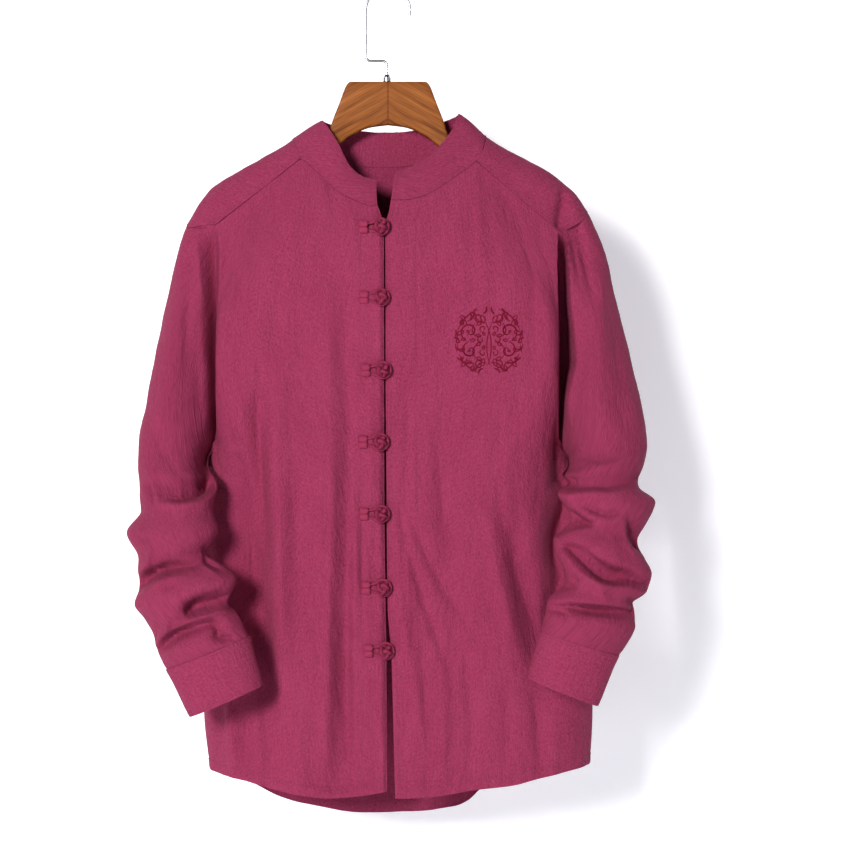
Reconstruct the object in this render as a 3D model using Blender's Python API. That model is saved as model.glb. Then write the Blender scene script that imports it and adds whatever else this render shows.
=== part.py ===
"""A stand-collar shirt with seven cord knots and loops, hung on a wooden coat hanger.

Metres, +Z up. +X is to the viewer's right and -Y faces the viewer. "right" and "left" in names and
columns are the wearer's, so the right front is on the viewer's left, at negative X.
The origin is the inside top of the hanger's hook, where a rail carries it, and every height is negative.
"""
import math
from collections import namedtuple

import bpy
import numpy as np

# Sizes of cloth and cord
CLOTH = 0.0015
SEAM_GAP = 0.0003
CORD_RADIUS = 0.0017
KNOT_RADIUS = 0.0076

# The shoulder line's own rounding over the hanger, and the slope from it to the chest
SHOULDER_ROUND = 0.022
ROUND_DROP = 0.030
SLOPE_DROP = 0.160
UNDERARM = -0.513
UNDERARM_SHARE = 0.42
SETTLE_SHARE = 0.22
NECK_FRONT = -0.243
HEM_LEVEL = 0.88
FOLD_FADE = 0.35

# The neck ring and the collar's top edge, as half widths and depths from the hanger's plane
NECK_WIDTH = {"right": 0.1060, "left": 0.1080}
COLLAR_WIDTH = {"right": 0.0739, "left": 0.0802}
COLLAR_DEPTH = {"front": 0.034, "back": 0.024}
COLLAR_FRONT_ANGLE = {"right": 9.6, "left": 6.2}
COLLAR_BULGE = 0.002
COLLAR_ROUNDNESS = 0.8
SHOULDER_SEAM_ANGLE = 66.0

# Where the shoulder seam of the yoke meets the armhole, in front and behind
ARMHOLE_CORNER = 0.1925
ARMHOLE_FRONT = {"right": -0.2655, "left": -0.2735}
ARMHOLE_BACK = {"right": -0.282, "left": -0.278}
SHOULDER_TIP = {"right": 0.0320, "left": 0.0300}
YOKE_NECK_BULGE = 0.010
YOKE_NECK_REACH = 0.105
BACK_YOKE_SEAM = -0.272

# Columns and rows of the grids
NECK_COLUMNS = 7
SHOULDER_COLUMNS = 5
BACK_NECK_COLUMNS = 14
YOKE_ROWS = 6
ARMHOLE_STOPS = (0.0, 0.12, 0.24, 0.37, 0.50, 0.63, 0.76, 0.87, 0.95, 1.0)
LOWER_ROWS = 12
FRONT_FLAT = 0.66
BACK_FLAT = 0.62
COLLAR_ROWS = 3
CUFF_ROWS = 3

# Shares of the seam gap by which each piece draws back: half each, a little more where a rim slants
HALF = 0.6
SLEEVE_HEAD = 1.4
COLLAR_BASE = 2.0

SIDES = {"right": -1, "left": 1}


class Table:
    """Rows under named columns, read between the rows along a smooth curve."""

    def __init__(self, columns, rows):
        self.columns = {}
        for place, name in enumerate(columns):
            self.columns[name] = [row[place] for row in rows]
        self.key = self.columns[columns[0]]

    def read(self, name, at):
        return glide(self.key, self.columns[name], at)


def glide(stops, values, at):
    """Values between the stops on a smooth curve that never overshoots, straight beyond the ends."""
    stops = np.asarray(stops, float)
    values = np.asarray(values, float)
    at = np.asarray(at, float)
    runs = np.diff(stops)
    slopes = np.diff(values) / runs
    before = slopes[:-1]
    after = slopes[1:]
    same_way = before * after > 0
    total = np.where(same_way, before + after, 1.0)
    tangents = np.empty(len(stops))
    tangents[0] = slopes[0]
    tangents[-1] = slopes[-1]
    tangents[1:-1] = np.where(same_way, 2 * before * after / total, 0.0)
    i = np.clip(np.searchsorted(stops, at, side="right") - 1, 0, len(runs) - 1)
    run = runs[i]
    t = np.clip((at - stops[i]) / run, 0.0, 1.0)
    value = (values[i] * (2 * t ** 3 - 3 * t ** 2 + 1) + values[i + 1] * (3 * t ** 2 - 2 * t ** 3)
             + run * tangents[i] * (t ** 3 - 2 * t ** 2 + t) + run * tangents[i + 1] * (t ** 3 - t ** 2))
    value = value + tangents[0] * np.minimum(at - stops[0], 0.0)
    return value + tangents[-1] * np.maximum(at - stops[-1], 0.0)


def smooth(x):
    """0 below 0, 1 above 1, with an even S between."""
    x = np.clip(x, 0.0, 1.0)
    return x * x * (3 - 2 * x)


def mix(a, b, share):
    return a + (b - a) * share


def by_side(x, right, left):
    """The right value at negative X and the left one elsewhere."""
    return np.where(np.asarray(x) < 0, right, left)


# Height of the shoulder line at each reach from the middle; inside the collar it is only a guide
SHOULDER = Table(("reach", "right", "left"), [
    (0.000, -0.1480, -0.1480),
    (0.060, -0.1530, -0.1500),
    (0.100, -0.1650, -0.1605),
    (0.121, -0.1775, -0.1730),
    (0.148, -0.1932, -0.1876),
    (0.175, -0.2078, -0.2010),
    (0.195, -0.2210, -0.2150),
    (0.210, -0.2390, -0.2290),
    (0.2245, -0.2626, -0.2510),
])

# How far the neck seam lies below the shoulder line, by its share of the neck's half width
NECK_SEAM = Table(("share", "right", "left", "back"), [
    (0.00, 0.0955, 0.0890, 0.047),
    (0.15, 0.0952, 0.0890, 0.046),
    (0.35, 0.0865, 0.0845, 0.042),
    (0.55, 0.0723, 0.0720, 0.035),
    (0.75, 0.0465, 0.0526, 0.025),
    (0.85, 0.0330, 0.0408, 0.018),
    (0.92, 0.0255, 0.0315, 0.011),
    (0.96, 0.0160, 0.0205, 0.006),
    (1.00, 0.0000, 0.0000, 0.000),
])

# Height of the collar's top edge, by its share of the collar's half width
COLLAR_TOP = Table(("share", "right", "left", "right_back", "left_back"), [
    (0.00, -0.2160, -0.2065, -0.1570, -0.1570),
    (0.15, -0.2155, -0.2063, -0.1570, -0.1568),
    (0.35, -0.2125, -0.2000, -0.1560, -0.1550),
    (0.55, -0.2015, -0.1905, -0.1545, -0.1515),
    (0.75, -0.1740, -0.1745, -0.1515, -0.1465),
    (0.90, -0.1560, -0.1575, -0.1485, -0.1425),
    (1.00, -0.1460, -0.1388, -0.1460, -0.1388),
])

# The body at each distance down from the hook: side seam, planes of front and back, the corner's
# width and squareness, and how far the armhole seam stands out from the middle plane
BODY = Table(("down", "right", "left", "front", "back", "corner", "square", "seam_depth"), [
    (0.260, 0.1925, 0.1925, 0.050, 0.046, 0.022, 2.6, 0.0300),
    (0.300, 0.1905, 0.1905, 0.050, 0.046, 0.024, 2.6, 0.0300),
    (0.400, 0.1900, 0.1900, 0.050, 0.047, 0.026, 2.6, 0.0300),
    (0.445, 0.1902, 0.1902, 0.051, 0.048, 0.032, 2.5, 0.0285),
    (0.480, 0.1910, 0.1910, 0.051, 0.049, 0.045, 2.3, 0.0190),
    (0.500, 0.1920, 0.1920, 0.052, 0.050, 0.056, 2.2, 0.0090),
    (0.513, 0.1930, 0.1930, 0.052, 0.050, 0.063, 2.1, 0.0000),
    (0.560, 0.1950, 0.1965, 0.052, 0.051, 0.085, 2.0, 0.0000),
    (0.600, 0.1970, 0.2050, 0.053, 0.052, 0.092, 2.0, 0.0000),
    (0.700, 0.2030, 0.2180, 0.056, 0.056, 0.096, 2.0, 0.0000),
    (0.805, 0.2060, 0.2290, 0.058, 0.060, 0.100, 2.0, 0.0000),
    (0.870, 0.1997, 0.2260, 0.058, 0.062, 0.100, 2.0, 0.0000),
])

# The two front edges, whose gap opens toward the hem
OPENING = Table(("down", "right", "left"), [
    (0.243, -0.0113, 0.0041),
    (0.270, -0.0036, 0.0004),
    (0.400, -0.0036, 0.0002),
    (0.550, -0.0034, 0.0012),
    (0.670, -0.0022, 0.0022),
    (0.750, -0.0010, 0.0050),
    (0.890, -0.0003, 0.0088),
])

# Heights of the front hem from the opening to the side seam
FRONT_HEM = Table(("share", "right", "left"), [
    (0.00, -0.8893, -0.8968),
    (0.18, -0.8951, -0.8958),
    (0.33, -0.8973, -0.8915),
    (0.43, -0.8951, -0.8876),
    (0.61, -0.8885, -0.8830),
    (0.75, -0.8809, -0.8760),
    (0.91, -0.8754, -0.8690),
    (1.00, -0.8719, -0.8657),
])

# Heights of the back hem across the tail, from the right side seam to the left one
BACK_HEM = Table(("x", "height"), [
    (-0.1997, -0.8719),
    (-0.156, -0.8970),
    (-0.128, -0.9130),
    (-0.095, -0.9230),
    (-0.043, -0.9310),
    (-0.010, -0.9320),
    (0.031, -0.9300),
    (0.078, -0.9250),
    (0.093, -0.9180),
    (0.105, -0.9060),
    (0.125, -0.8900),
    (0.226, -0.8657),
])

# Soft folds of the body: x and height at each end, half width, and depth (a ridge is negative)
Fold = namedtuple("Fold", "x_top top x_bottom bottom half_width depth")
FRONT_FOLDS = [
    Fold(-0.145, -0.460, -0.133, -0.870, 0.015, 0.0040),
    Fold(-0.096, -0.560, -0.098, -0.880, 0.017, -0.0030),
    Fold(-0.046, -0.640, -0.052, -0.900, 0.020, 0.0045),
    Fold(0.127, -0.560, 0.160, -0.730, 0.013, 0.0040),
    Fold(0.060, -0.560, 0.085, -0.900, 0.022, 0.0025),
]
BACK_FOLDS = [
    Fold(-0.120, -0.310, -0.112, -0.900, 0.020, 0.0085),
    Fold(-0.045, -0.330, -0.034, -0.930, 0.018, 0.0070),
    Fold(0.038, -0.320, 0.045, -0.930, 0.020, 0.0085),
    Fold(0.112, -0.310, 0.128, -0.890, 0.019, 0.0080),
]

# Each sleeve as rings: the outer and the inner end of each ring (x from the middle, depth in front of
# the middle plane, height), and its half thickness
RING_COLUMNS = ("ring", "out_x", "out_y", "out_z", "in_x", "in_y", "in_z", "half")
SLEEVE_RINGS = {
    "right": Table(RING_COLUMNS, [
        (0, 0.2245, 0.000, -0.2626, 0.1930, 0.000, -0.5133, 0.044),
        (1, 0.2352, 0.000, -0.2940, 0.1950, 0.000, -0.5165, 0.047),
        (2, 0.2475, 0.000, -0.3477, 0.1990, 0.003, -0.5200, 0.050),
        (3, 0.2610, 0.000, -0.4149, 0.2010, 0.008, -0.5250, 0.050),
        (4, 0.2706, 0.003, -0.4687, 0.2010, 0.017, -0.5310, 0.049),
        (5, 0.2752, 0.010, -0.5044, 0.1980, 0.031, -0.5380, 0.046),
        (6, 0.2744, 0.022, -0.5375, 0.1905, 0.049, -0.5464, 0.041),
        (7, 0.2716, 0.034, -0.5637, 0.1878, 0.060, -0.5571, 0.038),
        (8, 0.2687, 0.044, -0.5820, 0.1914, 0.066, -0.5787, 0.036),
        (9, 0.2842, 0.056, -0.6056, 0.1848, 0.071, -0.6012, 0.038),
        (10, 0.2703, 0.067, -0.6341, 0.1975, 0.076, -0.6276, 0.034),
        (11, 0.2706, 0.075, -0.6641, 0.1851, 0.082, -0.6359, 0.034),
        (12, 0.2742, 0.080, -0.6820, 0.1629, 0.087, -0.6539, 0.036),
        (13, 0.2628, 0.084, -0.6978, 0.1722, 0.090, -0.6795, 0.032),
        (14, 0.2537, 0.087, -0.7125, 0.1622, 0.092, -0.6910, 0.031),
        (15, 0.2485, 0.089, -0.7316, 0.1544, 0.094, -0.7047, 0.031),
        (16, 0.2370, 0.091, -0.7529, 0.1473, 0.095, -0.7169, 0.027),
    ]),
    "left": Table(RING_COLUMNS, [
        (0, 0.2224, 0.000, -0.2499, 0.1930, 0.000, -0.5133, 0.044),
        (1, 0.2419, 0.000, -0.2929, 0.1950, 0.000, -0.5165, 0.047),
        (2, 0.2554, 0.000, -0.3477, 0.1990, 0.003, -0.5200, 0.050),
        (3, 0.2722, 0.000, -0.4149, 0.2020, 0.008, -0.5250, 0.050),
        (4, 0.2831, 0.003, -0.4687, 0.2020, 0.017, -0.5300, 0.049),
        (5, 0.2869, 0.010, -0.5045, 0.1990, 0.031, -0.5370, 0.046),
        (6, 0.2833, 0.022, -0.5286, 0.1935, 0.047, -0.5430, 0.041),
        (7, 0.2752, 0.036, -0.5532, 0.2000, 0.057, -0.5510, 0.037),
        (8, 0.2944, 0.050, -0.5724, 0.1868, 0.064, -0.5630, 0.039),
        (9, 0.2741, 0.064, -0.6136, 0.1999, 0.071, -0.5897, 0.034),
        (10, 0.2808, 0.071, -0.6317, 0.1807, 0.078, -0.6122, 0.035),
        (11, 0.2884, 0.076, -0.6487, 0.1818, 0.082, -0.6238, 0.037),
        (12, 0.2819, 0.080, -0.6678, 0.1902, 0.086, -0.6419, 0.034),
        (13, 0.2670, 0.083, -0.6805, 0.1932, 0.088, -0.6578, 0.031),
        (14, 0.2689, 0.085, -0.6901, 0.1747, 0.090, -0.6760, 0.033),
        (15, 0.2688, 0.087, -0.7053, 0.1718, 0.092, -0.6880, 0.032),
        (16, 0.2494, 0.091, -0.7383, 0.1656, 0.095, -0.7121, 0.027),
    ]),
}
RING_STOPS = (0.0, 0.35, 0.8, 1.4, 2.2, 3.0, 3.8, 4.5, 5.2, 6.0, 6.6, 7.3, 8.0, 8.6, 9.3, 10.0,
              10.6, 11.3, 12.0, 12.6, 13.3, 14.0, 14.7, 15.4, 16.0)
ARMHOLE_TURN = 36.0
ARMHOLE_FADE = 1.3

# Creases across the sleeves as seen from the front: x and height at the start, the middle and the
# end, half width and depth. The same ones lie a little lower behind, and they fade at both ends
CREASE_STOPS = 13
CREASE_DROP_BEHIND = 0.012
CREASES_FROM_RING = 4.0
CREASES_TO_RING = 15.2
Crease = namedtuple("Crease", "x0 z0 x1 z1 x2 z2 half_width depth")
SLEEVE_CREASES = {
    "right": [
        Crease(-0.268, -0.549, -0.232, -0.556, -0.194, -0.555, 0.009, 0.0065),
        Crease(-0.276, -0.660, -0.243, -0.636, -0.200, -0.628, 0.009, 0.0065),
        Crease(-0.217, -0.690, -0.196, -0.683, -0.182, -0.672, 0.010, 0.0060),
        Crease(-0.251, -0.730, -0.232, -0.704, -0.188, -0.694, 0.008, 0.0055),
    ],
    "left": [
        Crease(0.200, -0.570, 0.236, -0.566, 0.272, -0.563, 0.009, 0.0045),
        Crease(0.202, -0.600, 0.236, -0.604, 0.272, -0.609, 0.010, 0.0045),
        Crease(0.202, -0.628, 0.240, -0.650, 0.282, -0.666, 0.011, 0.0065),
        Crease(0.190, -0.678, 0.226, -0.682, 0.268, -0.690, 0.007, 0.0060),
    ],
}

# Cuffs: outer and inner end at the seam and at the open end, as in the rings above
CUFF_BULGE = 0.0012
CUFF_ENDS = {
    "right": ((0.2369, 0.091, -0.7533, 0.1472, 0.095, -0.7173, 0.0270),
              (0.2138, 0.093, -0.8030, 0.1327, 0.097, -0.7677, 0.0250)),
    "left": ((0.2494, 0.091, -0.7383, 0.1656, 0.095, -0.7121, 0.0270),
             (0.2291, 0.093, -0.7912, 0.1505, 0.097, -0.7595, 0.0250)),
}

# Knots from the collar down: x of the ball and height
Knot = namedtuple("Knot", "x height")
KNOTS = [
    Knot(-0.0075, -0.2696),
    Knot(-0.0069, -0.3474),
    Knot(-0.0050, -0.4274),
    Knot(-0.0079, -0.5062),
    Knot(-0.0069, -0.5851),
    Knot(-0.0046, -0.6660),
    Knot(-0.0019, -0.7349),
]
KNOT_SIDES = 8
KNOT_LATITUDES = (-52, -25, 0, 25, 50, 72)
KNOT_LEAN = 0.3
STEM_RADIUS = 0.0014
STEM_INSET = 0.0016
LOOP_RADIUS = 0.0096
LOOP_LEG = 0.0185
LOOP_SIDES = 5
LOOP_RISE = 0.0014
LEG_GAP = 0.0005

# The wooden hanger: top and bottom height, half thickness and squareness at each reach. Past
# ARM_START its top follows the shoulder line inside the cloth
HANGER = Table(("reach", "top", "bottom", "half_thickness", "square"), [
    (0.0000, -0.1036, -0.1518, 0.0075, 6.0),
    (0.0200, -0.1036, -0.1545, 0.0075, 6.0),
    (0.0420, -0.1036, -0.1640, 0.0075, 6.0),
    (0.0455, -0.1062, -0.1662, 0.0075, 6.0),
    (0.0545, -0.1280, -0.1745, 0.0075, 6.0),
    (0.0605, -0.1430, -0.1790, 0.0076, 5.0),
    (0.0706, -0.1690, -0.1870, 0.0080, 4.0),
    (0.0850, -0.1745, -0.1965, 0.0090, 3.0),
    (0.1000, -0.1765, -0.2060, 0.0105, 2.6),
    (0.1200, -0.1800, -0.2180, 0.0130, 2.4),
    (0.1600, -0.1990, -0.2400, 0.0160, 2.2),
    (0.1900, -0.2200, -0.2520, 0.0145, 2.2),
    (0.2050, -0.2350, -0.2560, 0.0110, 2.2),
])
ARM_START = 0.112
ARM_BLEND = 0.016
ARM_SEAT = 0.0053
HANGER_TIP = 0.2085
HANGER_STATIONS = (0.0, 0.020, 0.034, 0.0420, 0.0455, 0.0545, 0.0605, 0.0655, 0.0706, 0.085, 0.100,
                   0.120, 0.140, 0.160, 0.180, 0.195, 0.203, 0.2085)
HANGER_SIDES = 12
TIP_CLOSE = 0.25
TIP_THICKNESS = 0.6

# The steel hook: wire radius, the arc's radius, and the cranked stem under it
WIRE = 0.0015
HOOK_RADIUS = 0.0247
HOOK_CENTRE = -0.0232
HOOK_TIP_ANGLE = -14.0
STEM_X = -0.0011
CRANK_HEIGHT = -0.0800
CRANK_BEND = 0.0052
STEM_FOOT = -0.0955
WIRE_SIDES = 8
FERRULE_RADIUS = 0.0042
FERRULE_HEIGHT = 0.0072
FERRULE_SHOULDER = 0.6
FERRULE_NECK = 0.7
FERRULE_SIDES = 12

COLOURS = {
    "berry_cloth": ((0.40, 0.052, 0.125), 0.85, 0.0),
    "berry_cord": ((0.33, 0.040, 0.100), 0.75, 0.0),
    "hanger_wood": ((0.34, 0.098, 0.026), 0.45, 0.0),
    "hook_steel": ((0.45, 0.45, 0.47), 0.28, 1.0),
}


def ridge(x):
    """Height of the shoulder line above this x."""
    reach = np.abs(x)
    return by_side(x, SHOULDER.read("right", reach), SHOULDER.read("left", reach))


def stand_out(drop, plane):
    """How far the cloth stands out from the middle plane, this far below the shoulder line."""
    near = np.clip(drop / ROUND_DROP, 0.0, 1.0)
    over = SHOULDER_ROUND * np.sqrt(np.maximum(1 - (1 - near) ** 2, 0.0))
    return over + (plane - SHOULDER_ROUND) * smooth(drop / SLOPE_DROP)


def fold_depth(folds, x, z):
    """The sum of the soft folds at this x and height: troughs are positive."""
    total = np.zeros(np.broadcast(x, z).shape)
    for fold in folds:
        share = (fold.top - z) / (fold.top - fold.bottom)
        middle = mix(fold.x_top, fold.x_bottom, np.clip(share, 0.0, 1.2))
        fade = smooth(share / FOLD_FADE) * (1 - smooth((share - 1 + FOLD_FADE / 2) / FOLD_FADE) * 0.6)
        total = total + fold.depth * fade * np.exp(-((x - middle) / fold.half_width) ** 2)
    return total


def section(reach_start, side_reach, corner, square, u, flat):
    """Across one level: x grows evenly over the flat share, then turns the corner to the seam.

    Gives x and the share of the plane's depth that is left there, from 1 to 0.
    """
    turn = np.clip((u - flat) / (1 - flat), 0.0, 1.0) * math.pi / 2
    straight = mix(reach_start, side_reach - corner, np.clip(u / flat, 0.0, 1.0))
    x = straight + corner * np.sin(turn) ** (2 / square)
    left = np.maximum(np.cos(turn), 0.0) ** (2 / square)
    return x, left


def opening_reach(side, z):
    """Signed toward the panel's own side, so the right front's edge can be past the middle."""
    return SIDES[side] * OPENING.read(side, -z)


def neck_angle(side, u):
    """Angle from the front middle of the neck ring to share u of a front panel's neck seam."""
    start = math.degrees(math.asin(opening_reach(side, NECK_FRONT) / NECK_WIDTH[side]))
    return mix(start, SHOULDER_SEAM_ANGLE, u)


def neck_place(side, angle):
    """x, and how far over the shoulder line: negative in front, the square root of the drop."""
    share = np.abs(np.sin(np.radians(angle)))
    x = SIDES[side] * NECK_WIDTH[side] * share
    front = np.asarray(angle) < 90
    drop = np.where(front, NECK_SEAM.read(side, share), NECK_SEAM.read("back", share))
    drop = np.maximum(drop, 0.0)
    over = np.where(front, -np.sqrt(drop), np.sqrt(drop))
    return x, over


def over_shoulder(x, over):
    """The point of the shoulder surface at this x, this far over the line."""
    drop = over ** 2
    z = ridge(x) - drop
    front = stand_out(drop, BODY.read("front", -z))
    back = stand_out(drop, BODY.read("back", -z))
    y = np.where(over < 0, -front, back)
    return np.stack(np.broadcast_arrays(x, y, z), axis=-1)


def shoulder_seam(side, share):
    """The yoke's front seam, from the neck to the armhole: x and height."""
    neck_x, neck_over = neck_place(side, SHOULDER_SEAM_ANGLE)
    neck_z = ridge(neck_x) - neck_over ** 2
    x = mix(neck_x, SIDES[side] * ARMHOLE_CORNER, share)
    z = mix(neck_z, ARMHOLE_FRONT[side], share)
    return x, z


def front_top(side, u):
    """The top edge of a front panel: neck seam, then the yoke's seam."""
    neck_share = NECK_COLUMNS / (NECK_COLUMNS + SHOULDER_COLUMNS)
    x_neck, over = neck_place(side, neck_angle(side, np.clip(u / neck_share, 0.0, 1.0)))
    z_neck = ridge(x_neck) - over ** 2
    x_seam, z_seam = shoulder_seam(side, np.clip((u - neck_share) / (1 - neck_share), 0.0, 1.0))
    on_neck = u < neck_share
    return np.where(on_neck, x_neck, x_seam), np.where(on_neck, z_neck, z_seam)


def level(top, hem, v):
    """Height at share v: the underarm's level is the same all round."""
    upper = mix(top, UNDERARM, np.clip(v / UNDERARM_SHARE, 0.0, 1.0))
    lower = mix(UNDERARM, hem, np.clip((v - UNDERARM_SHARE) / (1 - UNDERARM_SHARE), 0.0, 1.0))
    return np.where(v < UNDERARM_SHARE, upper, lower)


def front_point(side, u, v):
    """A front panel: u from the opening to the armhole and side seam, v from the top edge to the hem."""
    sign = SIDES[side]

    def across(height):
        down = -height
        return section(opening_reach(side, height), BODY.read(side, down), BODY.read("corner", down),
                       BODY.read("square", down), u, FRONT_FLAT)

    x_top, z_top = front_top(side, u)
    hem_x, _ = across(-HEM_LEVEL)
    hem = FRONT_HEM.read(side, np.clip(hem_x, 0.0, None) / BODY.read(side, HEM_LEVEL))
    z = level(z_top, hem, v)
    settle = smooth(v / SETTLE_SHARE)
    x, left = across(z)
    x_start, _ = across(z_top)
    x = sign * x + (x_top - sign * x_start) * (1 - settle)
    out = stand_out(np.maximum(ridge(x) - z, 0.0), BODY.read("front", -z))
    out = out - fold_depth(FRONT_FOLDS, x, z)
    seam = np.minimum(BODY.read("seam_depth", -z), out)
    out = out + (seam - out) * (1 - left) * settle
    return np.stack(np.broadcast_arrays(x, -out, z), axis=-1)


def yoke_side_share(u):
    """Share from the armhole to the neck on either shoulder, and the share round the back neck."""
    columns = 2 * SHOULDER_COLUMNS + BACK_NECK_COLUMNS
    place = u * columns
    mirrored = np.minimum(place, columns - place)
    shoulder = np.clip(mirrored / SHOULDER_COLUMNS, 0.0, 1.0)
    round_neck = np.clip((mirrored - SHOULDER_COLUMNS) / (BACK_NECK_COLUMNS / 2), 0.0, 1.0)
    return shoulder, round_neck


def back_seam_x(side, shoulder, round_neck):
    reach = mix(ARMHOLE_CORNER, YOKE_NECK_REACH, shoulder)
    return SIDES[side] * np.where(shoulder < 1, reach, mix(YOKE_NECK_REACH, 0.0, round_neck))


def back_seam_z(side, x):
    return mix(BACK_YOKE_SEAM, ARMHOLE_BACK[side], (np.abs(x) / ARMHOLE_CORNER) ** 2)


def yoke_half(side, u, v):
    """One half of the yoke: from its front edge, over the shoulder, to its back seam."""
    shoulder, round_neck = yoke_side_share(u)
    seam_x, seam_z = shoulder_seam(side, 1 - shoulder)
    seam_over = -np.sqrt(np.maximum(ridge(seam_x) - seam_z, 0.0))
    neck_x, neck_over = neck_place(side, mix(SHOULDER_SEAM_ANGLE, 180.0, round_neck))
    at_neck = shoulder >= 1
    x0 = np.where(at_neck, neck_x, seam_x)
    over0 = np.where(at_neck, neck_over, seam_over)
    x1 = back_seam_x(side, shoulder, round_neck)
    over1 = np.sqrt(ridge(x1) - back_seam_z(side, x1))
    reach_out = mix(SHOULDER_TIP[side], YOKE_NECK_BULGE, shoulder) * (1 - smooth(round_neck / 0.5))
    hump = 1 - np.abs(2 * v - 1) ** mix(3.4, 2.2, shoulder)
    x = mix(x0, x1, v) + SIDES[side] * reach_out * hump
    return over_shoulder(x, mix(over0, over1, v))


def yoke_point(u, v):
    """The yoke: u from the right armhole round the back neck to the left one, v from front to back."""
    right = yoke_half("right", u, v)
    left = yoke_half("left", u, v)
    return np.where((u < 0.5)[..., None], right, left)


def back_point(u, v):
    """The back: u from the right side to the left one, v from the yoke's seam to the hem."""
    shoulder, round_neck = yoke_side_share(u)
    on_right = u < 0.5
    x_top = np.where(on_right, back_seam_x("right", shoulder, round_neck),
                     back_seam_x("left", shoulder, round_neck))
    z_top = by_side(x_top, back_seam_z("right", x_top), back_seam_z("left", x_top))
    reach_share = np.abs(2 * u - 1)

    def across(height):
        down = -height
        side_reach = np.where(on_right, BODY.read("right", down), BODY.read("left", down))
        x, left = section(0.0, side_reach, BODY.read("corner", down), BODY.read("square", down),
                          reach_share, BACK_FLAT)
        return np.where(on_right, -x, x), left

    hem_x, _ = across(-HEM_LEVEL)
    z = level(z_top, BACK_HEM.read("height", hem_x), v)
    settle = smooth(v / SETTLE_SHARE)
    x, left = across(z)
    x_start, _ = across(z_top)
    x = x + (x_top - x_start) * (1 - settle)
    out = stand_out(np.maximum(ridge(x) - z, 0.0), BODY.read("back", -z))
    out = out - fold_depth(BACK_FOLDS, x, z)
    seam = np.minimum(BODY.read("seam_depth", -z), out)
    out = out + (seam - out) * (1 - left) * settle
    return np.stack(np.broadcast_arrays(x, out, z), axis=-1)


def armhole_point(side, angle):
    """The armhole seam, from the shoulder's tip (0) by the front to the underarm (180) and behind."""
    sign = SIDES[side]
    angle = (np.asarray(angle, float) + 180.0) % 360.0 - 180.0
    share = np.clip((np.abs(angle) - ARMHOLE_TURN) / (180.0 - ARMHOLE_TURN), 0.0, 1.0)
    edge = np.zeros_like(angle) + (0.0 if sign < 0 else 1.0)
    over_top = yoke_point(edge, np.clip(0.5 - angle / (2 * ARMHOLE_TURN), 0.0, 1.0))
    in_front = front_point(side, np.ones_like(angle), UNDERARM_SHARE * share)
    behind = back_point(edge, UNDERARM_SHARE * share)
    point = np.where((angle > ARMHOLE_TURN)[..., None], in_front, over_top)
    return np.where((angle < -ARMHOLE_TURN)[..., None], behind, point)


def ring_point(side, ends, angle):
    """A point of a flattened ring between its outer and inner ends; 90 degrees is its front."""
    out_x, out_y, out_z, in_x, in_y, in_z, half = ends
    outer = np.stack(np.broadcast_arrays(SIDES[side] * out_x, -out_y, out_z), axis=-1)
    inner = np.stack(np.broadcast_arrays(SIDES[side] * in_x, -in_y, in_z), axis=-1)
    middle = (outer + inner) / 2
    arm = (outer - inner) / 2
    along = arm / np.linalg.norm(arm, axis=-1, keepdims=True)
    ahead = np.array([0.0, -1.0, 0.0])
    ahead = ahead - along * (along @ ahead)[..., None]
    ahead = ahead / np.linalg.norm(ahead, axis=-1, keepdims=True)
    turn = np.radians(angle)[..., None]
    return middle + arm * np.cos(turn) + ahead * np.asarray(half)[..., None] * np.sin(turn), middle


def crease_depth(creases, x, z):
    """How deep the creases are here, by the nearest stretch of each bent line."""
    deepest = np.zeros(np.broadcast(x, z).shape)
    for crease in creases:
        nearest = np.full(deepest.shape, 1.0)
        end_fade = np.zeros(deepest.shape)
        for share in np.linspace(0.0, 1.0, CREASE_STOPS):
            start, middle, end = (1 - share) ** 2, 2 * share * (1 - share), share ** 2
            line_x = start * crease.x0 + middle * crease.x1 + end * crease.x2
            line_z = start * crease.z0 + middle * crease.z1 + end * crease.z2
            distance = np.hypot(x - line_x, z - line_z)
            fade = 0.35 + 0.65 * math.sin(math.pi * share)
            end_fade = np.where(distance < nearest, fade, end_fade)
            nearest = np.minimum(nearest, distance)
        deepest = deepest + crease.depth * end_fade * np.exp(-(nearest / crease.half_width) ** 2)
    return deepest


def sleeve_point(side, angle, ring):
    """A sleeve: it leaves the armhole seam and hangs through its rings to the cuff's seam."""
    rings = SLEEVE_RINGS[side]
    ends = [rings.read(name, ring) for name in RING_COLUMNS[1:]]
    point, middle = ring_point(side, ends, angle)
    start = [rings.read(name, 0.0) for name in RING_COLUMNS[1:]]
    plain, _ = ring_point(side, [value + np.zeros_like(ring) for value in start], angle)
    leaving = (1 - smooth(ring / ARMHOLE_FADE))[..., None]
    point = point + (armhole_point(side, angle) - plain) * leaving
    front = smooth(np.sin(np.radians(angle)) * 2)
    behind = smooth(-np.sin(np.radians(angle)) * 2)
    x, z = point[..., 0], point[..., 2]
    depth = crease_depth(SLEEVE_CREASES[side], x, z) * front
    depth = depth + crease_depth(SLEEVE_CREASES[side], x, z + CREASE_DROP_BEHIND) * behind
    depth = depth * smooth((ring - CREASES_FROM_RING) / 2.0) * (1 - smooth((ring - CREASES_TO_RING) / 0.8))
    inward = middle - point
    inward = inward / np.linalg.norm(inward, axis=-1, keepdims=True)
    return point + inward * depth[..., None]


def cuff_point(side, angle, share):
    start, end = CUFF_ENDS[side]
    ends = [mix(a, b, share) for a, b in zip(start, end)]
    ends[-1] = ends[-1] + CUFF_BULGE * np.sin(math.pi * np.clip(share, 0.0, 1.0))
    return ring_point(side, ends, angle)[0]


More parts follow.
